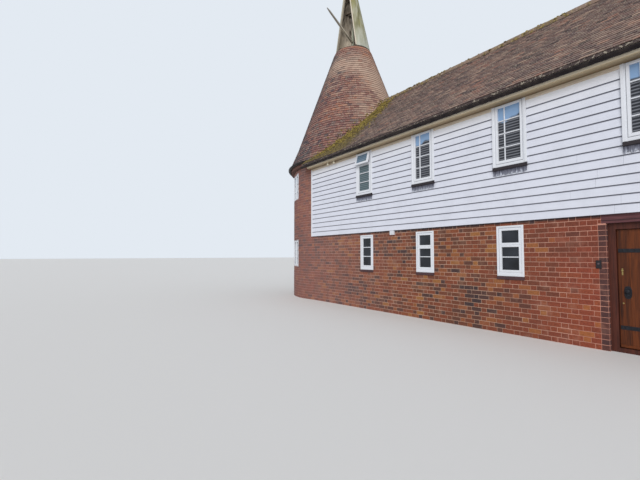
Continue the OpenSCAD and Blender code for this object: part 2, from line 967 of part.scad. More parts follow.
// Boards of the door on three ledges, with its half of the hinges
module door_leaf() {
    ledge_room = leaf_top - leaf_bottom - 2 * ledge_margin - ledge_width;
    color("#7a4a2c") placed() {
        block([leaf_left, leaf_front, leaf_bottom], [leaf_right, frame_back, leaf_top]);
        for (share = [0, 0.5, 1]) translate([0, 0, leaf_bottom + ledge_margin + share * ledge_room])
            block([leaf_left + ledge_margin, frame_back, 0],
                [leaf_right - hinge_flap - ledge_margin, frame_back + ledge_depth, ledge_width]);
        difference() {
            for (z = hinge_heights) translate([0, 0, z + knuckle_step]) hinge_knuckle(-1);
            translate([hinge_x, hinge_y, leaf_bottom])
                cylinder(r = hinge_pin + knuckle_gap, h = leaf_top - leaf_bottom);
        }
    }
}

// Straps, handle plate and night latch on the outside of the door
module door_ironwork() {
    color(black_iron) placed() {
        for (z = strap_heights)
            block([leaf_left, leaf_front - strap_thickness, z - strap_width / 2],
                [leaf_right, leaf_front, z + strap_width / 2]);
        translate([leaf_left + plate_inset, leaf_front - handle_plate[1], leaf_bottom + handle_height])
            cube(handle_plate);
        translate([leaf_left + latch_inset, leaf_front, leaf_bottom + latch_height])
            rotate([90, 0, 0]) cylinder(r = latch_radius, h = latch_depth);
    }
}

// Doorbell, wall box and the two lamps under the soffit
module wall_fittings() {
    color("#d9dade") placed() {
        translate([door_left - bell_inset - bell_size[0], -brick_face - bell_size[1], bell_height])
            cube(bell_size);
        translate([first_bay + wall_box_inset, -brick_face - wall_box_size[1],
            board_bottom - wall_box_drop - wall_box_size[2]]) cube(wall_box_size);
        for (x = lamp_insets)
            translate([roof_start + x, -board_face - lamp_reach, soffit_height - lamp_height])
                cylinder(r = lamp_radius, h = lamp_height);
    }
}

// Everything on the cowl is drawn with the mouth towards +X
module on_cowl() {
    placed() rotate(cowl_heading) children();
}

module cowl_axis() {
    translate([0, 0, cowl_foot]) rotate([0, cowl_lean, 0]) children();
}

// The leaning cone, run on below its foot and past its top
module cowl_core(grow, past_top = 0) {
    lift = cowl_radius * tan(cowl_lean) + past;
    taper = (cowl_radius - cowl_top_radius) / cowl_length;
    cowl_axis() translate([0, 0, -lift])
        cylinder(r1 = cowl_radius + lift * taper + grow,
            r2 = cowl_top_radius - past_top * taper + grow, h = cowl_length + lift + past_top);
}

// The leaning cone, cut level at its foot
module cowl_cone(grow = 0) {
    intersection() {
        cowl_core(grow);
        translate([-far / 2, -far / 2, cowl_foot]) cube(far);
    }
}

// Opening of the mouth, seen from the front: it narrows to its head
module mouth_space(inset = 0) {
    mouth_top = cowl_length - mouth_head;
    spread = (mouth_half_width - mouth_head_half) / mouth_top;
    foot_half = mouth_half_width + spread * cowl_radius - inset;
    head_half = mouth_head_half - inset;
    cowl_axis() rotate([90, 0, 90]) linear_extrude(height = 2 * cowl_radius)
        polygon([[-foot_half, -cowl_radius], [foot_half, -cowl_radius],
            [head_half, mouth_top], [-head_half, mouth_top]]);
}

module cowl_shell() {
    color(paint_white) on_cowl() difference() {
        cowl_cone();
        cowl_core(-cowl_board, past);
        mouth_space();
    }
}

// Boards along the two edges of the mouth
module cowl_cheeks() {
    color(paint_white) on_cowl() intersection() {
        difference() {
            cowl_cone(cheek_proud);
            cowl_core(cheek_proud - cheek_width, past);
        }
        difference() {
            mouth_space(bedding);
            mouth_space(bedding + cowl_board);
        }
    }
}

module cowl_cap() {
    color(paint_white) on_cowl() cowl_axis() translate([0, 0, cowl_length])
        cylinder(r1 = cowl_top_radius + cap_overlap, r2 = cap_top_radius, h = cap_height);
}

// Turning post with the two sets of arms that carry the cowl
module cowl_post() {
    foot = lower_bearing_top - socket_depth + socket_gap;
    color(timber) on_cowl() {
        translate([0, 0, foot]) cylinder(r = post_radius, h = post_top - foot);
        intersection() {
            cowl_cone(-cowl_board);
            for (z = arm_heights, turn = [90, 180, 270]) rotate(turn)
                block([0, -arm_width / 2, z], [2 * cowl_radius, arm_width / 2, z + arm_width]);
        }
    }
}

// Arm that points out of the mouth
module vane_arm() {
    color(paint_white) on_cowl() difference() {
        translate([0, 0, vane_height]) rotate([0, -vane_rise, 0])
            block([0, -vane_size / 2, -vane_size / 2],
                [vane_length / cos(vane_rise), vane_size / 2, vane_size / 2]);
        cylinder(r = post_radius, h = far);
    }
}

stowage_floor();
kiln_floor();
front_wall_left();
front_wall_right();
door_lintel();
back_wall();
gable_wall();
front_upper_wall();
back_upper_wall();
gable_upper_wall();
front_weatherboarding();
back_weatherboarding();
gable_weatherboarding();
corner_boards();
upper_floor();
kiln_wall_front();
kiln_wall_left();
kiln_wall_back();
kiln_wall_inner();
drying_floor();
kiln_eaves();
kiln_gutter();
kiln_roof();
cowl_curb();
cowl_bearings();
roof_front();
roof_back();
ridge_tiles();
eaves_boards();
gutters();
upper_windows();
lower_windows();
kiln_windows();
upper_glass();
lower_glass();
window_sills();
door_frame();
wall_fittings();
door_leaf();
door_ironwork();
cowl_post();
cowl_shell();
cowl_cheeks();
cowl_cap();
vane_arm();
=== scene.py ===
# %% [markdown]
# An oast house: a round brick kiln under a tiled cone, with a long stowage of brick
# and white weatherboard beside it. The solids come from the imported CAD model, which
# is the fixed frame. This lesson adds what the eye looks for: bricks, tiles, boards,
# glazing bars, moss and paint, each as a surface worked out with numpy.

# %% Load the frame
import math

import bpy
import numpy as np
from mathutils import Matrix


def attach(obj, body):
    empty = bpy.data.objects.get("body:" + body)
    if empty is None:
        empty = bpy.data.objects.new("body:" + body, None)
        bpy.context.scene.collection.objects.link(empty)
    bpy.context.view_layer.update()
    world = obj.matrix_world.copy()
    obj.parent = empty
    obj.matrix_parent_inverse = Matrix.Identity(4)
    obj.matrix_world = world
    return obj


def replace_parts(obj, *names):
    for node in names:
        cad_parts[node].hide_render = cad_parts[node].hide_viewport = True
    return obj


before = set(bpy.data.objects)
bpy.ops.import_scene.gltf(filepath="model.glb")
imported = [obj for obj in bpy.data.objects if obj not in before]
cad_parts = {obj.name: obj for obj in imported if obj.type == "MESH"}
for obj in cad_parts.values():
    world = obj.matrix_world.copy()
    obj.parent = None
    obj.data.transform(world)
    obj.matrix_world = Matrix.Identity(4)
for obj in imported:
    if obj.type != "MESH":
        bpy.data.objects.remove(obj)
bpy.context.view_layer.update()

# %% [markdown]
# Every new piece starts from the places of the solids, so nothing is typed twice.
# A node's points are in metres, in the same frame as the drawing, and its lowest and
# highest corners give the faces that bricks, boards and tiles lie on.

# %% Places of the solids
X, Y, up = np.eye(3)


def spots(x, y, z):
    """Points from a row of numbers, or one number, for each of x, y and z."""
    return np.stack(np.broadcast_arrays(x, y, z), -1).astype(float)


def around(angle):
    """Points on a circle of radius one: the cosine and the sine of each angle."""
    return np.stack([np.cos(angle), np.sin(angle)], -1)


def compass(angle):
    """Directions outwards and sideways at angles round an upright axis."""
    return spots(np.cos(angle), np.sin(angle), 0), spots(-np.sin(angle), np.cos(angle), 0)


def full_turn(count):
    """Evenly spaced angles of one turn, the last one short of the first."""
    return np.linspace(0, 2 * np.pi, count, endpoint=False)


def node_points(name):
    """All points of a CAD node as an array with three columns."""
    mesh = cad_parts[name].data
    flat = np.empty(len(mesh.vertices) * 3, np.float32)
    mesh.vertices.foreach_get("co", flat)
    return flat.reshape(-1, 3).astype(float)


low = {name: node_points(name).min(0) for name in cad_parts}
high = {name: node_points(name).max(0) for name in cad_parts}
kiln_x = (low["drying_floor"][0] + high["drying_floor"][0]) / 2
brick_face = -low["front_wall_left"][1]
board_face = -low["front_weatherboarding"][1]
brick_top = high["front_wall_left"][2]
boards_left, _, boards_bottom = low["front_weatherboarding"]
soffit_z = low["eaves_boards"][2]
gable_x = high["gable_wall"][0]
door_left, door_right = low["door_frame"][0], high["door_frame"][0]
print("kiln axis", round(kiln_x, 4), "soffit", round(soffit_z, 3))

# %% [markdown]
# The windows stand in five bays. Each lower window is a little to one side of the
# upper one, more so from bay to bay, and the front door takes the place of one.

# %% Window places
bay, bay_count = 2.020, 5
first_window = kiln_x + 3.060
lower_shift, lower_step = 0.035, -0.045
window_axes = first_window + bay * np.arange(bay_count)
lower_row = window_axes + lower_shift + lower_step * np.arange(bay_count)
lower_axes = lower_row[(lower_row < door_left) | (lower_row > door_right)]
print("upper windows at", window_axes.round(3), "lower ones at", lower_axes.round(3))

# %% [markdown]
# Colours are written as people pick them, in sRGB hex, while Blender's shaders reckon
# in linear light. One function turns the first into the second. Another adds any kind
# of shader node, sets its properties and links its sockets.

# %% Colour and nodes
def colour(code):
    """Linear red, green, blue and alpha of an sRGB hex code: below 0.04045 a channel
    is divided by 12.92, and above it it is raised to the power 2.4."""
    share = np.array([int(code[i:i + 2], 16) / 255 for i in (1, 3, 5)])
    linear = np.where(share <= 0.04045, share / 12.92, ((share + 0.055) / 1.055) ** 2.4)
    return (*linear.tolist(), 1.0)


def feed(node, inputs):
    """Sets or links inputs by name or number: a socket is linked, a text is a colour."""
    for key, value in inputs.items():
        if isinstance(value, bpy.types.NodeSocket):
            node.id_data.links.new(value, node.inputs[key])
        else:
            node.inputs[key].default_value = colour(value) if isinstance(value, str) else value


def add(tree, kind, *feeds, stops=(), result=0, **settings):
    """Adds a node and returns its output, the first one unless result names another.
    feeds are its inputs in order. A setting with a capital is an input too, and any
    other is a property. stops are the places and colours of a ramp."""
    node = tree.nodes.new("ShaderNode" + kind)
    inputs = dict(enumerate(feeds))
    for key, value in settings.items():
        if key[0].isupper():
            inputs[key] = value
        else:
            setattr(node, key, value)
    feed(node, inputs)
    band = node.color_ramp.elements if stops else []
    while len(band) < len(stops):
        band.new(0.5)
    for point, (place, code) in zip(band, stops):
        point.position = place
        point.color = colour(code) if isinstance(code, str) else (code, code, code, 1.0)
    return node.outputs[result]

# %% [markdown]
# A finish is a material: one shader, fed with colours and a relief that nodes work out
# from the place on the object. A few recipes come back often: noise that is stretched
# like grain, a change with height, and a surface speckled in two colours.

# %% Recipes for finishes
def new_finish(name, **sockets):
    """A material, its nodes, its shader and the place on the object. Numbers that are
    the same all over are set on the shader itself."""
    made = bpy.data.materials.new(name)
    made.use_nodes = True
    shader = made.node_tree.nodes["Principled BSDF"]
    feed(shader, {key.replace("_", " "): value for key, value in sockets.items()})
    print("finish:", name)
    return made, made.node_tree, shader, add(made.node_tree, "TexCoord", result="Object")


def stretched(tree, place, scale, detail, **more):
    """Noise that is squeezed by a number along each axis, as grain and streaks are."""
    line = add(tree, "Mapping", place, Scale=scale)
    return add(tree, "TexNoise", line, Scale=1.0, Detail=detail, **more)


def by_height(tree, place, bottom, top, first=0.0, last=1.0):
    """A number that goes evenly from first to last between two heights."""
    level = add(tree, "SeparateXYZ", place, result="Z")
    return add(tree, "MapRange", level, bottom, top, first, last)


def speckled(name, scale, dark, light, ends=(0.3, 0.7), detail=2.0, relief=None, **sockets):
    """A finish whose noise runs between two colours; relief is its depth and strength."""
    made, tree, shader, place = new_finish(name, **sockets)
    fine = add(tree, "TexNoise", place, Scale=scale, Detail=detail)
    feed(shader, {"Base Color": add(tree, "ValToRGB", fine, stops=[*zip(ends, (dark, light))])})
    if relief:
        feed(shader, {"Normal": add(tree, "Bump", Height=fine, Distance=relief[0], Strength=relief[1])})
    return made


def finish_nodes(material, *names):
    """Gives carried-over CAD nodes their finish."""
    for name in names:
        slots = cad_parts[name].data.materials
        slots.clear()
        slots.append(material)

# %% [markdown]
# A mesh is only points and faces. Large arrays go in fastest with foreach_set. Small
# shapes that repeat, such as bricks and tiles, are stamped: one shape in its own
# three directions, carried to thousands of places in one product of arrays.

# %% Arrays into pieces
def joined(parts):
    """One set of points and faces from several, the faces sorted by their corners."""
    points, faces, count = [], {}, 0
    for part_points, part_faces in parts:
        for f in part_faces if isinstance(part_faces, list) else [part_faces]:
            faces.setdefault(np.shape(f)[1], []).append(np.asarray(f) + count)
        points.append(part_points)
        count += len(part_points)
    return np.vstack(points), [np.vstack(f) for f in faces.values()]


def make_piece(name, parts, material, slot, body="building", smooth=False, **values):
    """A new object from points and faces, or from a list of such parts. Each extra name
    holds a number for each point, or for each copy of a shape that repeats."""
    points, faces = joined(parts if isinstance(parts, list) else [parts])
    corners = np.concatenate([f.ravel() for f in faces])
    sizes = np.concatenate([np.full(len(f), f.shape[1]) for f in faces])
    mesh = bpy.data.meshes.new(name)
    mesh.vertices.add(len(points))
    mesh.vertices.foreach_set("co", points.astype(np.float32).ravel())
    mesh.loops.add(len(corners))
    mesh.loops.foreach_set("vertex_index", corners.astype(np.int32))
    mesh.polygons.add(len(sizes))
    mesh.polygons.foreach_set("loop_start", (np.cumsum(sizes) - sizes).astype(np.int32))
    mesh.polygons.foreach_set("use_smooth", np.full(len(sizes), smooth))
    for key, value in values.items():
        each = np.repeat(value, len(points) // np.size(value)).astype(np.float32)
        mesh.attributes.new(key, "FLOAT", "POINT").data.foreach_set("value", each)
    mesh.update(calc_edges=True)
    mesh.materials.append(material)
    made = bpy.data.objects.new(name, mesh)
    bpy.context.scene.collection.objects.link(made)
    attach(made, body)
    print(f"{name}: {len(points)} points, {len(sizes)} faces")
    return made


def repeat_faces(faces, copies, points_each):
    """The faces of one shape, counted on for every copy."""
    faces = np.asarray(faces)
    shift = points_each * np.arange(copies)[:, None, None]
    return (faces[None] + shift).reshape(-1, faces.shape[1])


def grid_faces(rows, columns, round_=False):
    """Quads between the points of a grid; round_ closes its columns into a ring."""
    i = np.arange(rows - 1)[:, None]
    j = np.arange(columns if round_ else columns - 1)[None, :]
    k = (j + 1) % columns
    corners = [i * columns + j, i * columns + k, (i + 1) * columns + k, (i + 1) * columns + j]
    return np.stack(np.broadcast_arrays(*corners), -1).reshape(-1, 4)


def stamp(shapes, origin, across, rise, out):
    """Points of every copy: origin + a * across + u * rise + o * out, where the shape
    holds a, u and o for each point."""
    ways = np.stack(np.broadcast_arrays(origin, across, rise, out)[1:], 1)
    return (origin[:, None] + shapes @ ways).reshape(-1, 3)

# %% [markdown]
# The commonest shape is a block whose front edges are slightly worn: three rings of
# four corners, the first one inset. Bricks, glazing bars and small fittings use it.

# %% Blocks with worn edges
CORNERS = np.array([[-1, -1], [1, -1], [1, 1], [-1, 1]], float)
BLOCK_FACES = np.vstack([[[0, 1, 2, 3], [11, 10, 9, 8]], grid_faces(3, 4, True)[:, [0, 3, 2, 1]]])


def blocks(origin, across, rise, out, wide, tall, deep, chamfer=0.002):
    """Worn blocks whose front middles are the origins: rings of corners at the depths
    nought, chamfer and deep, the first of them inset by chamfer."""
    half = np.stack(np.broadcast_arrays(wide, tall), -1).reshape(-1, 1, 1, 2) / 2
    flat = CORNERS * (half - np.reshape([chamfer, 0, 0], (3, 1, 1)))
    depth = np.broadcast_to(np.reshape([0, -chamfer, -deep], (3, 1, 1)), flat.shape[:3] + (1,))
    shapes = np.concatenate([flat, depth], -1).reshape(-1, 12, 3)
    return stamp(shapes, origin, across, rise, out), repeat_faces(BLOCK_FACES, len(origin), 12)

# %% [markdown]
# Boards and mouldings are one outline carried along a line. The outline is a row of
# points in two directions, the start and the end each get a copy of it, and the two
# ends are capped. A skew moves an end with height, for a board cut to a roof slope.

# %% Outlines carried along a line
def carry(outline, start, end, side, rise=up, skew=(0.0, 0.0)):
    """A closed bar: start or end + a * side + u * rise for each outline point (a, u)."""
    outline, start, end = (np.asarray(v, float) for v in (outline, start, end))
    way = (end - start) / np.linalg.norm(end - start)
    if np.dot(np.cross(side, rise), way) < 0:
        outline = outline[::-1]
    ring = outline @ [side, rise]
    points = [tip + ring + s * outline[:, 1:] * way for tip, s in zip((start, end), skew)]
    k = len(outline)
    caps = np.array([np.arange(k)[::-1], np.arange(k) + k])
    return np.vstack(points), [grid_faces(2, k, True), caps]


def revolved(profile, origin, axis, turns=16):
    """Surfaces turned about an axis: a profile of (radius, height) points whose first
    and last radius are nought, at every origin."""
    profile = np.asarray(profile, float)
    side = np.cross(axis, [0.3, 0.5, 0.81])
    side /= np.linalg.norm(side)
    spoke = around(full_turn(turns)) @ [side, np.cross(axis, side)]
    middle = profile[1:-1, :1, None] * spoke + profile[1:-1, 1:, None] * axis
    shape = np.vstack([axis * profile[0, 1], middle.reshape(-1, 3), axis * profile[-1, 1]])
    last = len(shape) - 1
    ring = np.arange(turns)
    after = (ring + 1) % turns
    fans = np.vstack([spots(0, after + 1, ring + 1),
                      spots(last, last - turns + ring, last - turns + after)])
    faces = [grid_faces(len(profile) - 2, turns, True) + 1, fans.astype(int)]
    points = np.atleast_2d(origin)[:, None] + shape
    return points.reshape(-1, 3), [repeat_faces(f, len(points), len(shape)) for f in faces]

# %% [markdown]
# Fired clay brick is a matt ceramic, moulded by hand and burnt unevenly, so each brick
# has its own red, orange or plum. A number called tone on every brick picks its
# colour, and finer noise adds sand creases and stains. The eye reads it as dry.

# %% Brick and mortar
far_side = kiln_x - 2.3


def along_wall(tree, place, plain):
    """Sun and rain change a wall from end to end: a ramp along X, from the front door
    to the far side of the kiln, multiplies the colour."""
    x = add(tree, "SeparateXYZ", place, result="X")
    share = add(tree, "MapRange", x, door_left, far_side)
    zone = add(tree, "ValToRGB", share, stops=[
        (0.0, "#fde9e4"), (0.10, "#edefec"), (0.20, "#edf7ee"), (0.35, "#edfcf6"),
        (0.62, "#eff8f7"), (0.80, "#e4e5eb"), (1.0, "#d9d4da")])
    changed = add(tree, "MixRGB", 1.0, plain, zone, blend_type="MULTIPLY")
    rained = add(tree, "MapRange", share, 0.35, 0.70, 0.0, 0.30)
    return add(tree, "MixRGB", rained, changed, "#9a7872")


brick_finish, tree, shader, place = new_finish("fired_clay_brick", Roughness=0.88, IOR=1.5)
tone = add(tree, "Attribute", result="Fac", attribute_name="tone")
burnt = add(tree, "ValToRGB", tone, stops=[
    (0.0, "#493335"), (0.13, "#5c3b36"), (0.30, "#774230"), (0.60, "#914831"),
    (0.84, "#9f5937"), (1.0, "#ab6b3c")])
creases = add(tree, "TexNoise", place, Scale=38.0, Detail=4.0)
creased = add(tree, "ValToRGB", creases, stops=[(0.3, 0.5), (0.7, 1.0)])
sandy = add(tree, "MixRGB", 0.75, burnt, creased, blend_type="MULTIPLY")
bloom = add(tree, "TexNoise", place, Scale=5.0, Detail=5.0)
bloomed = add(tree, "ValToRGB", bloom, stops=[(0.55, 0.0), (0.8, 0.3)])
limed = add(tree, "MixRGB", bloomed, sandy, "#b08a78")
grit = add(tree, "TexNoise", place, Scale=160.0, Detail=3.0)
rough = add(tree, "Bump", Height=grit, Distance=0.002, Strength=0.6)
feed(shader, {"Base Color": along_wall(tree, place, limed), "Normal": rough})

mortar_finish, tree, shader, place = new_finish("lime_mortar", Roughness=0.95, IOR=1.5)
sand = add(tree, "TexNoise", place, Scale=220.0, Detail=2.0)
sanded = add(tree, "ValToRGB", sand, stops=[(0.3, "#ba8c7b"), (0.7, "#dcb09d")])
worn = add(tree, "TexNoise", place, Scale=2.2, Detail=4.0)
stain = add(tree, "ValToRGB", worn, stops=[(0.4, 0.0), (0.7, 0.65)])
stained = add(tree, "MixRGB", stain, sanded, "#8f6656")
rough = add(tree, "Bump", Height=sand, Distance=0.002, Strength=0.5)
feed(shader, {"Base Color": along_wall(tree, place, stained), "Normal": rough})
finish_nodes(mortar_finish, "front_wall_left", "front_wall_right", "back_wall", "gable_wall",
             "kiln_wall_front", "kiln_wall_left", "kiln_wall_back", "kiln_wall_inner")

# %% [markdown]
# The walls are laid in courses of about 87 mm. Each course is a row of stretchers and
# headers in turn, set on by half a pair from course to course, and cut wherever a
# window or the door comes. The CAD wall behind shows through the joints as mortar.

# %% Laying bricks
joint, perpend = 0.009, 0.006
course_count = 25
course = brick_top / course_count
stretcher, header = 0.203, 0.096
slip, shortest = 0.003, 0.045
brick_deep, brick_wear = 0.020, 0.004
deep_shade = -0.3


def lay_courses(length, top, openings, seed):
    """Middles, lengths and heights of the bricks of a wall that is length wide and top
    high, and the random numbers in use. openings are (left, right, bottom, top)."""
    rng = np.random.default_rng(seed)
    pair = stretcher + header + 2 * joint
    found = []
    for row in range(math.ceil(top / course - 0.2)):
        bottom, upper = row * course, min((row + 1) * course, top)
        first = -pair * (0.5 * (row % 2) + 0.06 * rng.random())
        heads = first + pair * np.arange(int((length - first) / pair) + 2)
        ends = np.concatenate([heads, heads + stretcher + joint])
        ends += rng.normal(0, slip, len(ends))
        cuts = [edge for o in openings if o[2] < upper - 0.01 and o[3] > bottom + 0.01
                for edge in o[:2]] + [0, length]
        ends = ends[np.min(np.abs(ends[:, None] - cuts), 1) > shortest]
        ends = np.unique(np.clip(np.concatenate([ends, cuts]), 0, length))
        left, right = ends[:-1], ends[1:]
        middle = (left + right) / 2
        base, head = np.full(len(left), bottom), np.full(len(left), upper)
        for o in openings:
            within = (middle > o[0]) & (middle < o[1]) & (o[2] < upper) & (o[3] > bottom)
            above = within & (o[2] <= bottom + 0.012)
            base = np.where(above, np.minimum(np.maximum(base, o[3]), upper), base)
            head = np.where(within & ~above, np.maximum(o[2], bottom), head)
        keep = (right - left > joint + 0.02) & (head - base > joint + 0.008)
        sizes = [middle, (base + head) / 2, right - left - perpend, head - base - joint]
        found.append(np.stack(sizes, 1)[keep])
    return np.vstack(found), rng

# %% Tones and places of the bricks
def brick_tones(found, rng, mixed=1.0):
    """One tone for each brick. Where mixed is one, the wall has dark and ochre bricks
    among the reds; where it is nought, nearly all are red. Patches are warm and cool."""
    count = len(found)
    tones = rng.normal(0.47, 0.09, count) + rng.normal(0, 0.12, count) * mixed
    kind = rng.random(count)
    tones = np.where(kind < 0.02 + 0.17 * mixed, rng.uniform(0.05, 0.26, count), tones)
    tones = np.where(kind > 0.97 - 0.14 * mixed, rng.uniform(0.72, 1.0, count), tones)
    patches = np.sin(found[:, 0] * 1.7 + 1.3) * np.sin(found[:, 1] * 2.3 + 0.4)
    return np.clip(tones + 0.12 * patches, 0, 1)


def brick_wall(name, found, rng, origin, across, out, tones, boarded=True):
    """Stamps the bricks of one wall; each stands 3 to 6 mm in front of the mortar.
    Where boards hang over the wall, the tops of its last bricks are in their shade,
    which is a tone below nought."""
    proud = rng.uniform(0.003, 0.0055, (len(found), 1))
    lean = rng.normal(0, 0.006, (len(found), 1))
    points, faces = blocks(origin + proud * out, across - lean * up, up + lean * across, out,
                           found[:, 2], found[:, 3], brick_deep, brick_wear)
    tones = np.repeat(tones, 12)
    if boarded:
        tones = np.where(points[:, 2] > boards_bottom - 0.02, deep_shade, tones)
    make_piece(name, (points, faces), brick_finish, "brick", tone=tones)

# %% [markdown]
# A wall is laid as if flat, by length and height, and only then put in its place on
# the front, the back or the gable. Darker bricks stand on end beside the front door.

# %% Bricks of the stowage
lower_half, sill_tall = 0.505 / 2, 0.050
lower_foot, lower_head = low["lower_windows"][2], high["lower_windows"][2]
wall_left = low["front_wall_left"][0]
wall_length = gable_x - wall_left
lintel_low, lintel_high = low["door_lintel"], high["door_lintel"]
quoin = header + joint


def window_cuts(axes):
    """The openings of the lower windows and their sills in a wall."""
    return [(x - lower_half, x + lower_half, lower_foot - sill_tall, lower_head) for x in axes]


cuts = window_cuts(lower_axes - wall_left)
cuts.append((door_left - quoin - wall_left, door_right + quoin - wall_left, -1, lintel_low[2]))
cuts.append((lintel_low[0] - wall_left, lintel_high[0] - wall_left, lintel_low[2], brick_top))
found, rng = lay_courses(wall_length, brick_top, cuts, 11)
near_door = np.exp(-((found[:, 0] + wall_left - door_left) / 1.5) ** 4)
tones = brick_tones(found, rng, 1 - near_door) + 0.06 * near_door
beside = np.array([[x - wall_left, (row + 0.5) * course, header + 0.005, course - joint + 0.002]
                   for x in (door_left - quoin / 2, door_right + quoin / 2)
                   for row in range(int(lintel_low[2] / course))])
found = np.vstack([found, beside])
tones = np.concatenate([tones, rng.uniform(0.04, 0.18, len(beside))])
brick_wall("front_bricks", found, rng, spots(wall_left + found[:, 0], -brick_face, found[:, 1]),
           X, -Y, tones)

found, rng = lay_courses(wall_length, brick_top, window_cuts(gable_x - lower_row), 12)
brick_wall("back_bricks", found, rng, spots(gable_x - found[:, 0], brick_face, found[:, 1]),
           -X, Y, brick_tones(found, rng))

found, rng = lay_courses(2 * brick_face, brick_top, window_cuts([brick_face]), 13)
brick_wall("gable_bricks", found, rng, spots(gable_x, found[:, 0] - brick_face, found[:, 1]),
           Y, X, brick_tones(found, rng))

# %% Bricks of the door recess
recess = -low["door_frame"][1]
# Painted shade: the recess bricks get only dark tones, 0 to 0.3, for the shade in the recess.
for name, x, way, seed in (("left", door_left, 1.0, 14), ("right", door_right, -1.0, 15)):
    found, rng = lay_courses(brick_face - recess, lintel_low[2], [], seed)
    y = -brick_face + found[:, 0] if way > 0 else -recess - found[:, 0]
    brick_wall(f"door_recess_bricks_{name}", found, rng, spots(x, y, found[:, 1]),
               way * Y, way * X, rng.uniform(0.0, 0.3, len(found)))

# %% [markdown]
# On the kiln the same courses run round the wall. Seen from above each brick is
# straight, and only the row of them is round, so every brick gets its own direction
# from its place along the wall: the angle is the length laid so far over the radius.

# %% Bricks of the kiln
kiln_radius = np.hypot(*(node_points("kiln_wall_left")[:, :2] - [kiln_x, 0]).T).max()
kiln_top = high["kiln_wall_left"][2]
wall_angle = math.acos((wall_left - kiln_x) / kiln_radius)
kiln_heading = math.radians(112)
kiln_half, kiln_tall, kiln_head = 0.860 / 2, 0.969, kiln_top - 0.075
kiln_lights = [(low["kiln_windows"][2], lower_head), (kiln_head - kiln_tall, kiln_head)]
cuts = [(middle - kiln_half, middle + kiln_half, *light)
        for middle in kiln_radius * (np.array([kiln_heading, 2 * math.pi - kiln_heading]) - wall_angle)
        for light in kiln_lights]
found, rng = lay_courses(kiln_radius * (2 * math.pi - 2 * wall_angle), kiln_top, cuts, 16)
out, across = compass(wall_angle + found[:, 0] / kiln_radius)
brick_wall("kiln_bricks", found, rng, kiln_radius * out + spots(kiln_x, 0, found[:, 1]), across, out,
           brick_tones(found, rng, 0.7), boarded=False)

# %% [markdown]
# Plain clay tiles are fired like brick but hang in overlapping rows 100 mm apart. Old
# ones gather lichen, which is pale and crusty, and moss, which is green to yellow and
# likes the damp line where two roofs meet. Tone picks the clay, moss says how near a
# tile is to such a line, pale is dust, and lap is the end that the next row covers.

# %% Tile finishes
def tile_finish(name, lichen, clay):
    """Clay by tone, lichen in spots of about 30 mm, moss by its own number and noise, and painted shade on
    the covered head of each tile.
    """
    made, tree, shader, place = new_finish(name, Roughness=0.85, IOR=1.5)
    tone, moss, lap, pale = (add(tree, "Attribute", result="Fac", attribute_name=key)
                             for key in ("tone", "moss", "lap", "pale"))
    fired = add(tree, "ValToRGB", tone, stops=clay)
    soot = add(tree, "TexNoise", place, Scale=14.0, Detail=5.0)
    sooty = add(tree, "ValToRGB", soot, stops=[(0.3, 0.5), (0.65, 1.0)])
    body = add(tree, "MixRGB", 0.7, fired, sooty, blend_type="MULTIPLY")
    crust = add(tree, "TexNoise", place, Scale=30.0, Detail=4.0)
    crusted = add(tree, "ValToRGB", crust, stops=[(0.56, 0.0), (0.66, lichen)])
    aged = add(tree, "MixRGB", crusted, body, "#b5ab99")
    dusted = add(tree, "MixRGB", pale, aged, "#bda28e")
    clump = add(tree, "TexNoise", place, Scale=9.0, Detail=5.0)
    damp = add(tree, "Math", moss, clump, operation="ADD")
    grown = add(tree, "ValToRGB", damp, stops=[(0.78, 0.0), (1.0, 0.9)])
    green = add(tree, "ValToRGB", crust, stops=[(0.38, "#40361b"), (0.5, "#6c5c2c"), (0.62, "#9c8846")])
    mossy = add(tree, "MixRGB", grown, dusted, green)
    # Painted shade: by lap, the head of each tile, under the row above, is darkened to about a third.
    shade = add(tree, "ValToRGB", lap, stops=[(0.60, 1.0), (0.74, 0.32)])
    shaded = add(tree, "MixRGB", 1.0, mossy, shade, blend_type="MULTIPLY")
    grain = add(tree, "TexNoise", place, Scale=90.0, Detail=4.0)
    relief = add(tree, "Bump", Height=grain, Distance=0.003, Strength=0.6)
    feed(shader, {"Base Color": shaded, "Normal": relief})
    return made


stowage_tile = tile_finish("weathered_brown_clay_tile", 0.75, [
    (0.0, "#4c3f3d"), (0.3, "#6c5754"), (0.6, "#80665f"), (0.85, "#917064"), (1.0, "#a37463")])
kiln_tile = tile_finish("weathered_red_clay_tile", 0.75, [
    (0.0, "#483d44"), (0.3, "#764f4c"), (0.6, "#895a50"), (0.85, "#9b6653"), (1.0, "#ad7156")])
ridge_clay = tile_finish("half_round_ridge_clay", 0.5, [
    (0.0, "#55473f"), (0.5, "#6d5a4f"), (1.0, "#846757")])
finish_nodes(stowage_tile, "roof_front", "roof_back")
finish_nodes(kiln_tile, "kiln_roof")

# %% [markdown]
# One tile is a thin slab 165 mm wide, slightly crowned. Its tail stands about 12 mm
# higher than the row below, and its head is sunk under the row above. Its twelve
# points are two ends of three points, above and below.

# %% One tile
tile_gauge, tile_width, tile_gap = 0.100, 0.165, 0.003
tile_long, tile_thick, tile_crown = 0.122, 0.012, 0.0022
tail_height, head_height = 0.018, 0.003
askew, slid, lifted = 0.012, 0.0022, 0.003
TILE = np.array([[across, along, height + crown - under]
                 for under in (0.0, tile_thick)
                 for along, height in ((0.0, tail_height), (tile_long, head_height))
                 for across, crown in ((-0.5, 0.0), (0.0, tile_crown), (0.5, 0.0))])
TILE_FACES = np.array([
    [0, 1, 4, 3], [1, 2, 5, 4], [6, 9, 10, 7], [7, 10, 11, 8],
    [0, 6, 7, 1], [1, 7, 8, 2], [3, 4, 10, 9], [4, 5, 11, 10], [0, 3, 9, 6], [2, 8, 11, 5]])


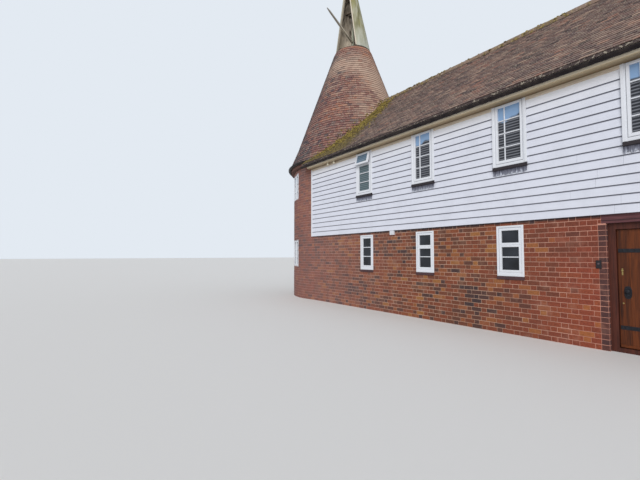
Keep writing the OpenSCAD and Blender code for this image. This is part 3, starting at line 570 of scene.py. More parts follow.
def tile_field(name, origin, across, climb, out, wide, material, slot, rng, **values):
    """Stamps the tiles of one roof, each turned, slid and lifted a little."""
    count = len(origin)
    turn = rng.normal(0, askew, (count, 1))
    origin = origin + rng.normal(0, slid, (count, 1)) * climb + rng.uniform(0, lifted, (count, 1)) * out
    points = stamp(TILE * spots(wide, 1, 1)[:, None], origin, across + turn * climb,
                   climb - turn * across, out)
    make_piece(name, (points, repeat_faces(TILE_FACES, count, 12)), material, slot,
               lap=np.tile([0, 0, 0, 1, 1, 1], 2 * count), **values)

# %% [markdown]
# Rows of tiles follow the roofs, so the pitch of the slope and the outline of the
# cone, which bends outwards near its foot, are measured on the solids first. Weather
# comes in patches: sums of sine waves, and humps that fall off round a place.

# %% Roof shapes
roof = node_points("roof_front")
tile_edge, roof_left = -roof[:, 1].min(), roof[:, 0].min()
verge, ridge_z = roof[:, 0].max(), roof[:, 2].max()
tile_edge_z = roof[roof[:, 1] < -tile_edge + 1e-3, 2].max()
pitch = math.atan2(ridge_z - tile_edge_z, tile_edge)
slope_length = math.hypot(ridge_z - tile_edge_z, tile_edge)

cone = node_points("kiln_roof")
cone_r = np.hypot(cone[:, 0] - kiln_x, cone[:, 1])
cone_bend = 5.500
cone_levels = np.array([cone[cone_r > cone_r.max() - 2e-3, 2].max(), cone_bend, cone[:, 2].max()])
cone_radii = np.array([cone_r[np.abs(cone[:, 2] - z) < 1e-3].max() for z in cone_levels])
cone_lengths = np.concatenate([[0], np.cumsum(np.hypot(np.diff(cone_levels), np.diff(cone_radii)))])
print("pitch", round(math.degrees(pitch), 1), "cone", cone_levels, cone_radii.round(3))


def cone_radius(z):
    """Radius of the cone's tiles at a height."""
    return np.interp(z, cone_levels, cone_radii)


def cone_line(along):
    """Radius and height of the cone at a way up its slope."""
    return np.array([np.interp(along, cone_lengths, v) for v in (cone_radii, cone_levels)])


def roof_height(y):
    """Height of the stowage tiles at a distance from the ridge."""
    return tile_edge_z + (tile_edge - np.abs(y)) * math.tan(pitch)


def noise_wave(points, seed):
    """A smooth number from -1 to 1 for each point: four sine waves in seeded directions."""
    rng = np.random.default_rng(seed)
    ways = rng.normal(0, 1.3, (4, 3))
    return np.sin(points @ ways.T + rng.uniform(0, 6, 4)).mean(1) * 1.4


def hump(value, middle, width):
    """A bell-shaped rise to one: exp of minus the square of the distance over width."""
    return np.exp(-((value - middle) / width) ** 2)


def facing(angle, way, sharp):
    """One on the side of the cone that looks one way, falling off round it."""
    return np.exp(sharp * (np.cos(angle - way) - 1))

# %% [markdown]
# The two slopes of the stowage are laid from the gutter up, the cone from its flared
# foot to the cowl. On the cone a row has as many tiles as fit its girth, so the rows
# shorten as they climb. Tiles that would lie inside the other roof are left out.

# %% Tiles of the stowage
under_ridge, overhang, narrowest, tucked_in = 0.09, 0.004, 0.03, 0.06
row_count = int((slope_length - under_ridge) / tile_gauge)
column_count = math.ceil((verge - roof_left) / tile_width) + 1
row, column = [a.ravel() for a in np.mgrid[0:row_count, 0:column_count]]
middle_x = verge - (column + 0.5 - 0.5 * (row % 2)) * tile_width
right = np.minimum(middle_x + tile_width / 2, verge)
left = np.maximum(middle_x - tile_width / 2, roof_left)
for name, side, seed in (("front_roof_tiles", -1.0, 21), ("back_roof_tiles", 1.0, 22)):
    rng = np.random.default_rng(seed)
    climb = np.array([0.0, -side * math.cos(pitch), math.sin(pitch)])
    out = np.array([0.0, side * math.sin(pitch), math.cos(pitch)])
    along = row * tile_gauge - overhang
    origin = spots((left + right) / 2, side * tile_edge, tile_edge_z) + along[:, None] * climb
    middle = origin + 0.05 * climb
    gap = np.hypot(middle[:, 0] - kiln_x, middle[:, 1])
    gap -= cone_radius(np.maximum(middle[:, 2], cone_levels[0]))
    wide = right - left - tile_gap
    keep = (wide > narrowest) & (gap > -tucked_in)
    origin, wide, gap, along, middle = (a[keep] for a in (origin, wide, gap, along, middle))
    gap = np.maximum(gap, 0)
    tones = rng.normal(0.5, 0.27, len(wide)) + 0.12 * noise_wave(middle, 3)
    moss = hump(gap, 0, 0.50 + 0.22 * (ridge_z - middle[:, 2]))
    moss += 0.42 * np.exp(-(slope_length - along) / 0.16) + 0.12 * noise_wave(middle * 0.8, 5)
    pale = rng.normal(0.10, 0.13, len(wide)) + 0.4 * (rng.random(len(wide)) < 0.09)
    tile_field(name, origin, -side * X, climb, out, wide, stowage_tile, "roof_tiles", rng,
               tone=np.clip(tones - 0.25 * np.exp(-gap / 1.6), 0, 1), moss=np.clip(moss, 0, 1),
               pale=np.clip(pale, 0, 0.7))

# %% Tiles of the cone
rng = np.random.default_rng(23)
laid = []
for row, tail in enumerate(np.arange(-overhang, cone_lengths[-1] - 0.03, tile_gauge)):
    girth = 2 * math.pi * (cone_line(tail)[0] + 0.016)
    count = round(girth / tile_width)
    shift = 0.5 * (row % 2) + 0.15 * rng.random()
    laid.append(spots((np.arange(count) + shift) * 2 * math.pi / count, tail, girth / count - tile_gap))
angles, tails, widths = np.vstack(laid).T
radius, height = cone_line(tails)
lean = cone_line(tails + 0.06) - (radius, height)
lean_r, lean_z = (lean / np.hypot(*lean))[:, :, None]
flat_out, across = compass(angles)
climb = lean_r * flat_out + lean_z * up
out = lean_z * flat_out - lean_r * up
sagitta = widths ** 2 / (8 * np.maximum(radius, 0.3))
origin = (radius + sagitta * 0.6)[:, None] * flat_out + spots(kiln_x, 0, height)
over_roof = origin[:, 2] + 0.1 - roof_height(origin[:, 1])
above = (origin[:, 0] < roof_left + 0.05) | (over_roof > 0)
origin, across, climb, out, widths, over_roof, angles = (
    a[above] for a in (origin, across, climb, out, widths, over_roof, angles))
rise = origin[:, 2]
tones = rng.normal(0.46, 0.2, len(widths)) + 0.15 * noise_wave(origin * 0.9, 6)
# Painted light and shade: tone rises on the side towards 0.5 rad and falls on the side towards -2.0 rad, as
# light falls from the right.
tones += 0.38 * np.maximum(np.cos(angles - 0.5), 0) ** 2 + 0.55 * hump(rise, 9.5, 0.22)
tones -= 0.40 * facing(angles, -2.0, 7)
moss = np.where(origin[:, 0] > roof_left, 0.40 * np.exp(-np.maximum(over_roof, 0) / 0.15), 0)
moss += 0.1 * noise_wave(origin * 1.1, 8)
moss += 0.34 * facing(angles, -2.7, 6) * (1 + 0.6 * noise_wave(origin * 1.7, 12))
pale = 0.62 * hump(rise, 8.55, 0.75) * (0.55 + 0.45 * np.cos(angles + 1.2))
pale += hump(rise, 7.2, 1.3) * np.maximum(np.cos(angles - 0.25), 0) ** 3
pale = np.clip(pale * (1 + 0.8 * noise_wave(origin * 1.9, 11)) + rng.normal(0, 0.13, len(widths)), 0, 0.85)
# Painted shade: the left side, towards -2.2 rad, keeps little pale dust.
pale *= (1 - 0.9 * facing(angles, -2.2, 9)) * (1 - 0.6 * hump(rise, 9.5, 0.45))
tile_field("kiln_roof_tiles", origin, across, climb, out, widths, kiln_tile, "kiln_tiles", rng,
           tone=np.clip(tones, 0, 1), moss=np.clip(moss, 0, 1), pale=pale)

# %% [markdown]
# Half-round ridge tiles sit in mortar over the top of both slopes. Each is an arch of
# clay 450 mm long, and its outline is an outer and an inner arc carried along X. One
# long arch just inside them is what shows in their joints.

# %% Ridge tiles
ridge_tile_long, ridge_joint = 0.45, 0.008
ridge_radius = (high["ridge_tiles"][1] - low["ridge_tiles"][1]) / 2
crown_z = high["ridge_tiles"][2] - ridge_radius
ridge_left = kiln_x + cone_radius(ridge_z) - 0.03
arc = around(np.radians(np.linspace(-12, 192, 13)))


def arch(outer, inner, left, right, level):
    """A piece of the ridge: an outer and an inner arc carried from left to right."""
    outline = np.vstack([arc * (ridge_radius + outer), arc[::-1] * (ridge_radius + inner)])
    return carry(outline, [left, 0, level], [right, 0, level], Y)


rng = np.random.default_rng(31)
ends = np.linspace(ridge_left, verge, round((verge - ridge_left) / ridge_tile_long) + 1)
parts = [arch(0.004, -0.016, left + ridge_joint / 2, right - ridge_joint / 2,
              crown_z + rng.normal(0, 0.003)) for left, right in zip(ends[:-1], ends[1:])]
parts.append(arch(-0.001, -0.001 - 0.15 * (ridge_radius - 0.001), ridge_left, verge - 0.006, crown_z))
points, faces = joined(parts)
moss = 0.42 + 0.2 * noise_wave(points * 1.5, 9) - 0.03 * (points[:, 0] - ridge_left)
ridge_piece = make_piece("ridge_arches", (points, faces), ridge_clay, "ridge", pale=0.25,
                         tone=np.clip(0.5 + 0.5 * noise_wave(points * 2, 4), 0, 1),
                         moss=np.clip(moss, 0, 1))
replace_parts(ridge_piece, "ridge_tiles")

# %% [markdown]
# White oil paint on sawn boards is a thin satin coat. It dulls in the rain, keeps
# the grain of the wood as a faint relief, and streaks a little below joints. The
# same recipe with other colours serves the joinery, the cream eaves and plaster.

# %% Painted timber
def painted(name, coat, dirt, grain_scale, gloss=0.5, dirt_share=0.35, streak=(3.0, 3.0, 2.0), lapped=False):
    """Paint over grain: grain_scale stretches the noise along the board, and dirt
    gathers in soft patches about 0.3 m wide. On lapped boards it also lines the laps
    with painted shade, and whitens the boards towards the soffit as painted light
    against the shade of the eaves."""
    made, tree, shader, place = new_finish(name, Roughness=gloss, IOR=1.5)
    grain = stretched(tree, place, grain_scale, 5.0)
    patch = stretched(tree, place, streak, 6.0, Roughness=0.65)
    stain = add(tree, "ValToRGB", patch, stops=[(0.45, 0.0), (0.8, dirt_share)])
    shade = add(tree, "ValToRGB", grain, stops=[(0.25, 0.93), (0.75, 1.0)])
    coated = add(tree, "MixRGB", 1.0, coat, shade, blend_type="MULTIPLY")
    worn = add(tree, "MixRGB", stain, coated, dirt)
    if lapped:
        lap = add(tree, "Attribute", result="Fac", attribute_name="lap")
        # Painted shade: a dark line along the top of each board, under the lap, and on its underside.
        line = add(tree, "ValToRGB", lap, stops=[(0.81, 0.0), (0.89, 0.92)])
        # Painted light: the boards whiten towards the soffit, against the shade of the eaves.
        painted_light_under_eaves = by_height(tree, place, soffit_z - 0.45, soffit_z - 0.05, 0.0, 0.75)
        worn = add(tree, "MixRGB", painted_light_under_eaves, worn, "#f3f4f8")
        worn = add(tree, "MixRGB", line, worn, "#656672")
    relief = add(tree, "Bump", Height=grain, Distance=0.0015, Strength=0.35)
    feed(shader, {"Base Color": worn, "Normal": relief})
    return made


board_paint = painted("white_paint_on_weatherboard", "#d9dbe5", "#a7a8ae", (2.5, 40.0, 90.0),
                      0.55, 0.25, lapped=True)
joinery_paint = painted("white_gloss_joinery_paint", "#dfe1e6", "#b9bac0", (30.0, 30.0, 30.0), 0.35, 0.2)
cream_paint = painted("cream_paint_on_eaves", "#ccbda9", "#9a8872", (2.5, 60.0, 60.0), 0.6, 0.6,
                      (2.2, 6.0, 6.0))
finish_nodes(joinery_paint, "upper_windows", "lower_windows", "kiln_windows", "corner_boards")

# %% [markdown]
# The eaves have two faces: the fascia, in cream paint that darkens towards its drip
# edge, and the soffit, brown with stains and darker still as painted shade, and painted
# lighter towards the gutter.

# %% Fascia and soffit
eaves_paint, tree, shader, place = new_finish("cream_fascia_and_soffit_with_painted_shade", Roughness=0.6, IOR=1.5)
grain = stretched(tree, place, (2.0, 50.0, 30.0), 5.0)
drip = by_height(tree, place, soffit_z, soffit_z + 0.09)
fascia = add(tree, "ValToRGB", drip, stops=[
    (0.0, "#a8946f"), (0.2, "#dccdb2"), (0.7, "#efe4cf"), (1.0, "#e6d9c4")])
# Painted shade: the soffit's brown is darker than its stain, for the shade under the eaves.
stain = add(tree, "ValToRGB", grain, stops=[(0.3, "#5a472d"), (0.7, "#7e6947")])
depth = add(tree, "Math", add(tree, "SeparateXYZ", place, result="Y"), operation="ABSOLUTE")
# Painted light: the soffit grows lighter towards the gutter and darker towards the wall.
outer = add(tree, "MapRange", depth, board_face + 0.06, tile_edge - 0.03, 0.0, 0.9)
soffit = add(tree, "MixRGB", outer, stain, "#c3ae8a")
level = add(tree, "SeparateXYZ", place, result="Z")
upright = add(tree, "Math", level, soffit_z + 0.0008, operation="GREATER_THAN")
both = add(tree, "MixRGB", upright, soffit, fascia)
relief = add(tree, "Bump", Height=grain, Distance=0.002, Strength=0.4)
feed(shader, {"Base Color": both, "Normal": relief})
finish_nodes(eaves_paint, "eaves_boards")

# %% [markdown]
# Weatherboards are wedges: thin at the top, thick at the foot, each lapped over the
# one below, so that a thin dark line runs under every board; painted shade makes that
# line darker. A board is its wedge outline carried along the wall, cut where a window
# casing or a joint comes.

# %% Weatherboards of the long walls
exposure, board_thinning, board_long = 0.150, 0.017, 4.1
board_back = brick_face + 0.001
board_out = board_face - board_back
casing_half = 0.640 / 2
casing_foot, casing_head = low["upper_windows"][2], high["upper_windows"][2]


def wedge(tall):
    """Outline of a board: (out from the wall, up); 17 mm thinner at its top."""
    thin = board_out - board_thinning * tall / exposure
    return [[0, 0], [board_out, 0], [board_out + 0.002, 0.003], [thin, tall], [0, tall]]


def lapped_piece(name, parts):
    """Boards of five outline points at two ends. lap says how high a point is on its
    board, from nought to one, and the paint darkens its top as painted shade under the
    lap; the underside gets the same painted shade, so it is one too."""
    points, faces = joined(parts)
    height = points[:, 2].reshape(-1, 10)
    height = height - height.min(1, keepdims=True)
    shares = np.where(height < 1e-4, 1.0, (height - 0.003) / exposure)
    shares = np.where(height > exposure + 1e-3, 0.0, shares)
    return make_piece(name, (points, faces), board_paint, "boards_white", lap=shares)


def stretches(casings):
    """Left and right ends of a long wall's boards, cut at the casings or whole."""
    cuts = [x + s * casing_half for x in window_axes for s in (-1, 1)] if casings else []
    edges = [boards_left, *cuts, gable_x]
    return zip(edges[::2], edges[1::2])


row_count = math.floor((soffit_z - boards_bottom) / exposure)
for name, side, seed in (("front", -1.0, 41), ("back", 1.0, 42)):
    rng = np.random.default_rng(seed)
    parts = []
    for row in range(row_count):
        z = boards_bottom + row * exposure
        tall = exposure if row < row_count - 1 else soffit_z - z
        for left, right in stretches(z + tall > casing_foot + 0.01):
            joins = max(1, round((right - left) / board_long))
            stops = np.linspace(left, right, joins + 1)
            stops[1:-1] += rng.uniform(-0.7, 0.7, joins - 1)
            for a, b in zip(stops[:-1] + 0.0008, stops[1:] - 0.0008):
                parts.append(carry(wedge(tall), [a, side * board_back, z], [b, side * board_back, z],
                                   side * Y))
    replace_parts(lapped_piece(f"{name}_boards", parts), f"{name}_weatherboarding")

# %% [markdown]
# On the gable the boards end at the slopes of the roof. The slope is a straight line,
# so the skew of a board's ends is one over the tangent of the pitch.

# %% Weatherboards of the gable
parts = []
wall_top = ridge_z - (roof_height(0) - high["gable_upper_wall"][2])
rake = math.tan(pitch)
for row in range(math.ceil((wall_top - boards_bottom) / exposure)):
    z = boards_bottom + row * exposure
    tall = min(exposure, wall_top - z - 0.01)
    if tall < 0.03:
        continue
    reach = (wall_top - z) / rake
    half, skew = (brick_face, 0.0) if reach > brick_face + tall / rake else (min(reach, brick_face), 1 / rake)
    runs = [(-half, half, skew, -skew)]
    if z + tall > casing_foot + 0.01 and z < casing_head - 0.01:
        runs = [(-half, -casing_half, skew, 0.0), (casing_half, half, 0.0, -skew)]
    for a, b, skew_a, skew_b in runs:
        parts.append(carry(wedge(tall), [gable_x + 0.001, a, z], [gable_x + 0.001, b, z], X,
                           skew=(skew_a, skew_b)))
gable_piece = lapped_piece("gable_boards", parts)
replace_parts(gable_piece, "gable_weatherboarding")

# %% [markdown]
# A small strip closes the last board against the soffit. It is one outline carried
# along the wall, cut wherever a casing reaches up to the soffit.

# %% Soffit trim
trim = [[-0.03, -0.052], [0.012, -0.052], [0.020, -0.044], [0.022, 0], [-0.03, 0]]
make_piece("soffit_trim", [
    carry(trim, [a, side * board_face, soffit_z], [b, side * board_face, soffit_z], side * Y)
    for side in (-1.0, 1.0) for a, b in stretches(True)], cream_paint, "eaves_cream")

# %% [markdown]
# Windows are framed in layers, and the layers give the fine lines that the eye counts:
# an outer strip, the sash with its moulded edge, and thin glazing bars in front of
# the glass. A sash is one outline carried round four corners with mitred joints.

# %% Frames with mitred corners
def window_places(front_axes, back_axes, face, z):
    """Middles, across and outward directions: the front, the back and the gable."""
    middles = np.vstack([spots(front_axes, -face, z), spots(back_axes, face, z),
                         spots(gable_x + face - brick_face, 0, z)])
    counts = [len(front_axes), len(back_axes), 1]
    return middles, np.repeat([X, -X, Y], counts, 0), np.repeat([-Y, Y, X], counts, 0)


def mitred(places, middle_z, wide, tall, outline):
    """Closed frames: each outline point (in, out) is carried round the corners of a
    rectangle, moved in towards its middle by the first number and out by the second."""
    origin, across, out = places
    outline = np.array(outline, float)[::-1]
    corners = CORNERS[:, None] * (np.array([wide, tall]) / 2 - outline[:, :1])
    ahead = np.broadcast_to(outline[:, 1:], corners.shape[:2] + (1,))
    shape = np.concatenate([corners, ahead], -1).reshape(-1, 3)
    faces = grid_faces(5, len(outline), True) % len(shape)
    return (stamp(shape, origin + middle_z * up, across, up, out),
            repeat_faces(faces, len(origin), len(shape)))


def bars(places, sideways, middle_z, front, wide, tall, deep, chamfer=0.002):
    """One block at every window: its middle is set by two numbers, and front says how
    far it stands in front of the window's face."""
    origin, across, out = places
    middle = origin + sideways * across + middle_z * up + front * out
    return blocks(middle, across, up, out, wide, tall, deep, chamfer)


def first_and_rest(places):
    """The first window on the front, and all the others."""
    return [a[:1] for a in places], [a[1:] for a in places]

# %% Upper windows
upper_tall = soffit_z - casing_foot
upper_places = window_places(window_axes, window_axes, board_face + 0.014, casing_foot)
first_upper, other_upper = first_and_rest(upper_places)
glass_wide, glass_foot, glass_head = 0.420, 0.115, upper_tall - 0.040
sash_wide, sash_foot, sash_head = glass_wide + 0.080, glass_foot - 0.055, glass_head + 0.034
casing_strip, bar_wide, bar_deep, bar_lap = 0.044, 0.019, 0.024, 0.004
upper_edge = [[0, 0.0], [0, 0.007], [0.003, 0.009], [0.034, 0.009], [0.037, 0.004], [0.041, -0.002],
              [0.041, -0.036], [0.0, -0.036]]


def casements(places, head, bar_heights):
    """Sashes up to a height, with a rail at the foot and thin bars across the glass."""
    return [mitred(places, (sash_foot + head) / 2, sash_wide, head - sash_foot, upper_edge),
            bars(places, 0, glass_foot - 0.024, 0.0085, glass_wide, 0.046, 0.03),
            *(bars(places, 0, z, -0.012, glass_wide + bar_lap, bar_wide, bar_deep, 0.004)
              for z in bar_heights)]


make_piece("upper_outer_strips", [
    bars(upper_places, s * (casing_half - casing_strip / 2), upper_tall / 2, 0.010, casing_strip,
         upper_tall, 0.012, 0.003) for s in (-1, 1)], joinery_paint, "joinery_white")
parts = casements(other_upper, sash_head, (0.375, 0.645, 0.905))
parts.append(bars(other_upper, -0.2 * glass_wide, (glass_foot + glass_head) / 2, -0.012, bar_wide,
                  glass_head - glass_foot + bar_lap, bar_deep, 0.004))
make_piece("upper_sashes", parts, joinery_paint, "joinery_white")
fanlight_tall, fanlight_rail = 0.282, 0.032
below_fanlight = glass_head - fanlight_tall - fanlight_rail + 0.012
make_piece("first_casement", casements(first_upper, below_fanlight, (0.360, 0.622)), joinery_paint,
           "joinery_white")

# %% [markdown]
# A lower window has two sashes, one over the other, and the lower one has a thin bar.
# The first window is fixed glass with two bars. All the frames are slender, so they
# stand for the solid ones, and panes in front of the solid glass fill their lights.

# %% Lower windows
lower_places = window_places(lower_axes, lower_row, brick_face, lower_foot)
first_lower, other_lower = first_and_rest(lower_places)
lower_wide, lower_tall, lower_deep = 2 * lower_half, lower_head - lower_foot, 0.070
stile, head_rail, foot_rail = 0.086, 0.090, 0.118
transom_top, transom_foot = lower_tall - 0.334, lower_tall - 0.411
light_wide, light_top = lower_wide - 2 * stile, lower_tall - head_rail
lower_edge = [[0, 0.0], [0, 0.006], [0.003, 0.008], [0.036, 0.008], [0.041, 0.002], [0.041, -0.036],
              [0.0, -0.036]]
sash_lap, pane_lap = 0.074, 0.006
strip, head_strip, foot_strip = 0.040, 0.036, 0.048
parts, pane_parts = [], []
for places, z0, z1 in ((other_lower, foot_rail, transom_foot), (other_lower, transom_top, light_top),
                       (first_lower, foot_rail, light_top)):
    middle, tall = (z0 + z1) / 2, z1 - z0
    parts.append(mitred(places, middle, light_wide + sash_lap, tall + sash_lap, lower_edge))
    pane_parts.append(bars(places, 0, middle, -0.031, light_wide + pane_lap, tall + pane_lap, 0.003, 0.0005))
parts.append(bars(other_lower, 0, 0.370, -0.010, light_wide, 0.020, 0.026, 0.004))
for share in (1 / 3, 2 / 3):
    z = foot_rail + share * (light_top - foot_rail)
    parts.append(bars(first_lower, 0, z, -0.010, light_wide, 0.022, 0.026, 0.004))
for s in (-1, 1):
    parts.append(bars(lower_places, s * (lower_half - strip / 2), lower_tall / 2, 0.010, strip,
                      lower_tall, 0.02, 0.003))
strip_wide = lower_wide - 2 * strip
for z, front, tall in ((lower_tall - head_strip / 2, 0.009, head_strip), (foot_strip / 2, 0.012, foot_strip)):
    parts.append(bars(lower_places, 0, z, front, strip_wide, tall, 0.02, 0.003))
make_piece("lower_sashes", parts, joinery_paint, "joinery_white")

lower_frames = make_piece("lower_frames", [
    *(bars(lower_places, s * (lower_half - stile / 2), lower_tall / 2, 0, stile, lower_tall, lower_deep)
      for s in (-1, 1)),
    bars(lower_places, 0, (light_top + lower_tall) / 2, 0, light_wide, head_rail, lower_deep),
    bars(lower_places, 0, foot_rail / 2, 0, light_wide, foot_rail, lower_deep),
    bars(other_lower, 0, (transom_top + transom_foot) / 2, 0, light_wide, transom_top - transom_foot,
         lower_deep)], joinery_paint, "joinery_white")
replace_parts(lower_frames, "lower_windows")

# %% [markdown]
# A kiln window is flat in a round wall, so its face lies on the chord between its two
# sides, in whole millimetres as on the drawing. It has two sashes side by side.

# %% Kiln windows
member, kiln_lap = 0.052, 0.030
chord = math.floor(1000 * math.sqrt(kiln_radius ** 2 - kiln_half ** 2)) / 1000
wide = kiln_half - 1.5 * member
parts = []
for side in (-1.0, 1.0):
    out, across = compass(side * kiln_heading)
    for z0, z1 in kiln_lights:
        tall = z1 - z0 - 2 * member
        for s in (-1, 1):
            middle = [kiln_x, 0, (z0 + z1) / 2] + chord * out + s * (kiln_half - member / 2) / 2 * across
            at = middle[None], across[None], out[None]
            parts.append(mitred(at, 0, wide + kiln_lap, tall + kiln_lap, lower_edge))
            parts += [bars(at, 0, z, -0.010, wide, 0.020, 0.026, 0.004) for z in (-tall / 6, tall / 6)]
make_piece("kiln_sashes", parts, joinery_paint, "joinery_white")

# %% [markdown]
# A sash never fills its frame quite, and the gap shows as a thin grey line. A flat
# strip 6 mm wide draws that line, carried round like the sash.

# %% Gaps round the sashes
gap_finish = speckled("shadow_gap_round_sashes", 60.0, "#5d5f68", "#8b8e98", Roughness=0.9, IOR=1.5)
gap_line, gap_wide = [[0, -0.002], [0, 0.0006], [0.006, 0.0006], [0.006, -0.002]], 0.006
make_piece("sash_gaps", [
    mitred(upper_places, (sash_foot + sash_head) / 2, sash_wide + 2 * gap_wide,
           sash_head - sash_foot + 2 * gap_wide, gap_line),
    mitred(lower_places, lower_tall / 2, strip_wide + gap_wide, lower_tall - 2 * strip + gap_wide,
           gap_line)], gap_finish, "joinery_white")

# %% [markdown]
# Window glass is a clear coat over a painted dark, which stands for the unlit rooms.
# Close under the eaves it has a painted reflection, blue above a slanted line; upstairs
# there are the slats of a blind, and at the first window a green-grey curtain. The
# smooth shader mirrors the pale surroundings more the flatter it is seen.

# %% Glass
glass_finish, tree, shader, place = new_finish("clear_window_glass", Roughness=0.03, IOR=1.52,
                                               Specular_IOR_Level=0.35)
wave = add(tree, "TexNoise", place, Scale=3.0, Detail=1.0)
# Painted shade: dark greys that stand for the unlit rooms behind the glass.
painted_dark_of_room = add(tree, "ValToRGB", wave, stops=[(0.3, "#15171c"), (0.7, "#2a2d34")])
x, level = (add(tree, "SeparateXYZ", place, result=key) for key in "XZ")
# Painted reflection: light blue over the top of the glass, above a line that slants across each window,
# weaker at the first window.
from_first = add(tree, "Math", x, first_window, operation="SUBTRACT")
in_window = add(tree, "Math", from_first, bay / 2, -bay / 2, operation="WRAP")
slant = add(tree, "Math", in_window, -0.22, level, operation="MULTIPLY_ADD")
swayed = add(tree, "Math", wave, 0.30, slant, operation="MULTIPLY_ADD")
height = add(tree, "MapRange", swayed, soffit_z - 0.11, soffit_z - 0.07)
painted_reflection_share = add(tree, "MapRange", x, first_window + 0.4, first_window + 0.9, 0.25, 1.0)
painted_sky_reflection = add(tree, "Math", height, painted_reflection_share, operation="MULTIPLY")
slats = add(tree, "Math", level, 2 * math.pi / 0.052, operation="MULTIPLY")
wavy = add(tree, "Math", slats, operation="SINE")
upstairs = by_height(tree, place, boards_bottom, boards_bottom + 0.2, 0.0, 0.5)
banded = add(tree, "Math", wavy, upstairs, operation="MULTIPLY")
blind = add(tree, "MixRGB", banded, painted_dark_of_room, "#a0a2aa")
shut = add(tree, "MapRange", painted_reflection_share, 0.25, 0.35, 0.7, 0.0)
curtained = add(tree, "Math", shut, upstairs, operation="MULTIPLY")
behind = add(tree, "MixRGB", curtained, blind, "#5f7f83")
tint_and_painted_reflection = add(tree, "MixRGB", painted_sky_reflection, behind, "#86a5c9")
relief = add(tree, "Bump", Height=wave, Distance=0.004, Strength=0.12)
feed(shader, {"Base Color": tint_and_painted_reflection, "Normal": relief})
finish_nodes(glass_finish, "upper_glass", "lower_glass")
make_piece("lower_outer_panes", pane_parts, glass_finish, "glass")

# %% [markdown]
# Under each upper window a dark sill throws the water off, and a sheet of lead below
# it, cut by hand, keeps the rain out of the boards. Lead is a soft grey metal whose
# skin turns dull and streaky. Its ragged lower edge is a sum of sine waves. A lower
# window has a sill of three clay tiles.

# %% Sills and lead aprons
sill_half, lead_half = 0.317, 0.315
# The sill is partly dark stained timber and partly painted shade: its near-black and its 70 mm depth take in
# the shade it throws.
sill_finish = painted("dark_stained_sill_with_painted_shade", "#20161c", "#120d10", (3.0, 60.0, 60.0), 0.6, 0.5)
clay_sill = painted("clay_sill_tiles", "#4a3033", "#241a1d", (8.0, 60.0, 60.0), 0.8, 0.6)
lead_finish, tree, shader, place = new_finish("weathered_sheet_lead", Roughness=0.55, IOR=1.5)
streaks = stretched(tree, place, (40.0, 40.0, 7.0), 4.0)
# Painted shade: the lead is darker up under the sill and paler towards its foot.
darker_up_under_sill = by_height(tree, place, casing_foot - 0.18, casing_foot - 0.08, 0.22, -0.20)
mixed = add(tree, "Math", streaks, darker_up_under_sill, operation="ADD")
grey = add(tree, "ValToRGB", mixed, stops=[(0.3, "#3a3946"), (0.55, "#70727f"), (0.8, "#c6cad5")])
feed(shader, {"Base Color": grey})

sill_outline = [[-0.02, 0], [-0.02, -0.070], [0.034, -0.070], [0.040, -0.065], [0.040, -0.012], [0.012, 0]]
steps = np.linspace(-lead_half, lead_half, 60)
last = 4 * (len(steps) - 1)
sheet_faces = np.vstack([grid_faces(len(steps), 4, True)[:, ::-1],
                         [[0, 1, 2, 3], [last + 3, last + 2, last + 1, last]]])
parts, lead_parts = [], []
for o, a, n in zip(*window_places(window_axes, window_axes, board_face, casing_foot)):
    parts.append(carry(sill_outline, o - sill_half * a, o + sill_half * a, n))
    foot = -0.166 + sum(size * np.sin(steps * rate + shift) for size, rate, shift in (
        (0.013, 61, o[0]), (0.011, 143, 2 * o[0]), (0.009, 257, o[1])))
    swell = 0.002 * np.sin(steps * 37 + o[0])
    sheet = np.stack([spots(steps, level, depth + swell) for level, depth in (
        (-0.045, 0.017), (foot, 0.0185), (foot, 0.0155), (-0.045, 0.010))], 1)
    lead_parts.append((o + sheet.reshape(-1, 3) @ [a, up, n], sheet_faces))
sill_piece = make_piece("timber_sills", parts, sill_finish, "sills")
make_piece("lead_aprons", lead_parts, lead_finish, "sills")
make_piece("sill_tiles", [bars(lower_places, s, -0.033, 0.028, 0.168, 0.060, 0.05, 0.005)
                          for s in (-0.17, 0, 0.17)], clay_sill, "sills")
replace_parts(sill_piece, "window_sills")

# %% [markdown]
# Timber that is only oiled or stained shows its grain: dark lines run along the board
# and the colour drifts from board to board. Stretched noise gives the lines, and the
# tone number on each board gives the drift.

# %% Oiled and stained timber
def timber(name, dark, light, scale, gloss=0.6, groove_z=None):
    """Grain from noise that is stretched along the board, between two browns. A groove
    is a dark line 9 mm wide at a given height."""
    made, tree, shader, place = new_finish(name, Roughness=gloss, IOR=1.5, Specular_IOR_Level=0.25)
    grain = stretched(tree, place, scale, 6.0, Distortion=0.6)
    tone = add(tree, "Attribute", result="Fac", attribute_name="tone")
    mixed = add(tree, "Math", tone, 0.22, grain, operation="MULTIPLY_ADD")
    brown = add(tree, "ValToRGB", mixed, stops=[(0.3, dark), (0.8, light)])
    if groove_z:
        level = add(tree, "SeparateXYZ", place, result="Z")
        cut = add(tree, "Math", level, groove_z, 0.0045, operation="COMPARE")
        brown = add(tree, "MixRGB", cut, brown, "#241416")
    relief = add(tree, "Bump", Height=grain, Distance=0.002, Strength=0.5)
    feed(shader, {"Base Color": brown, "Normal": relief})
    return made


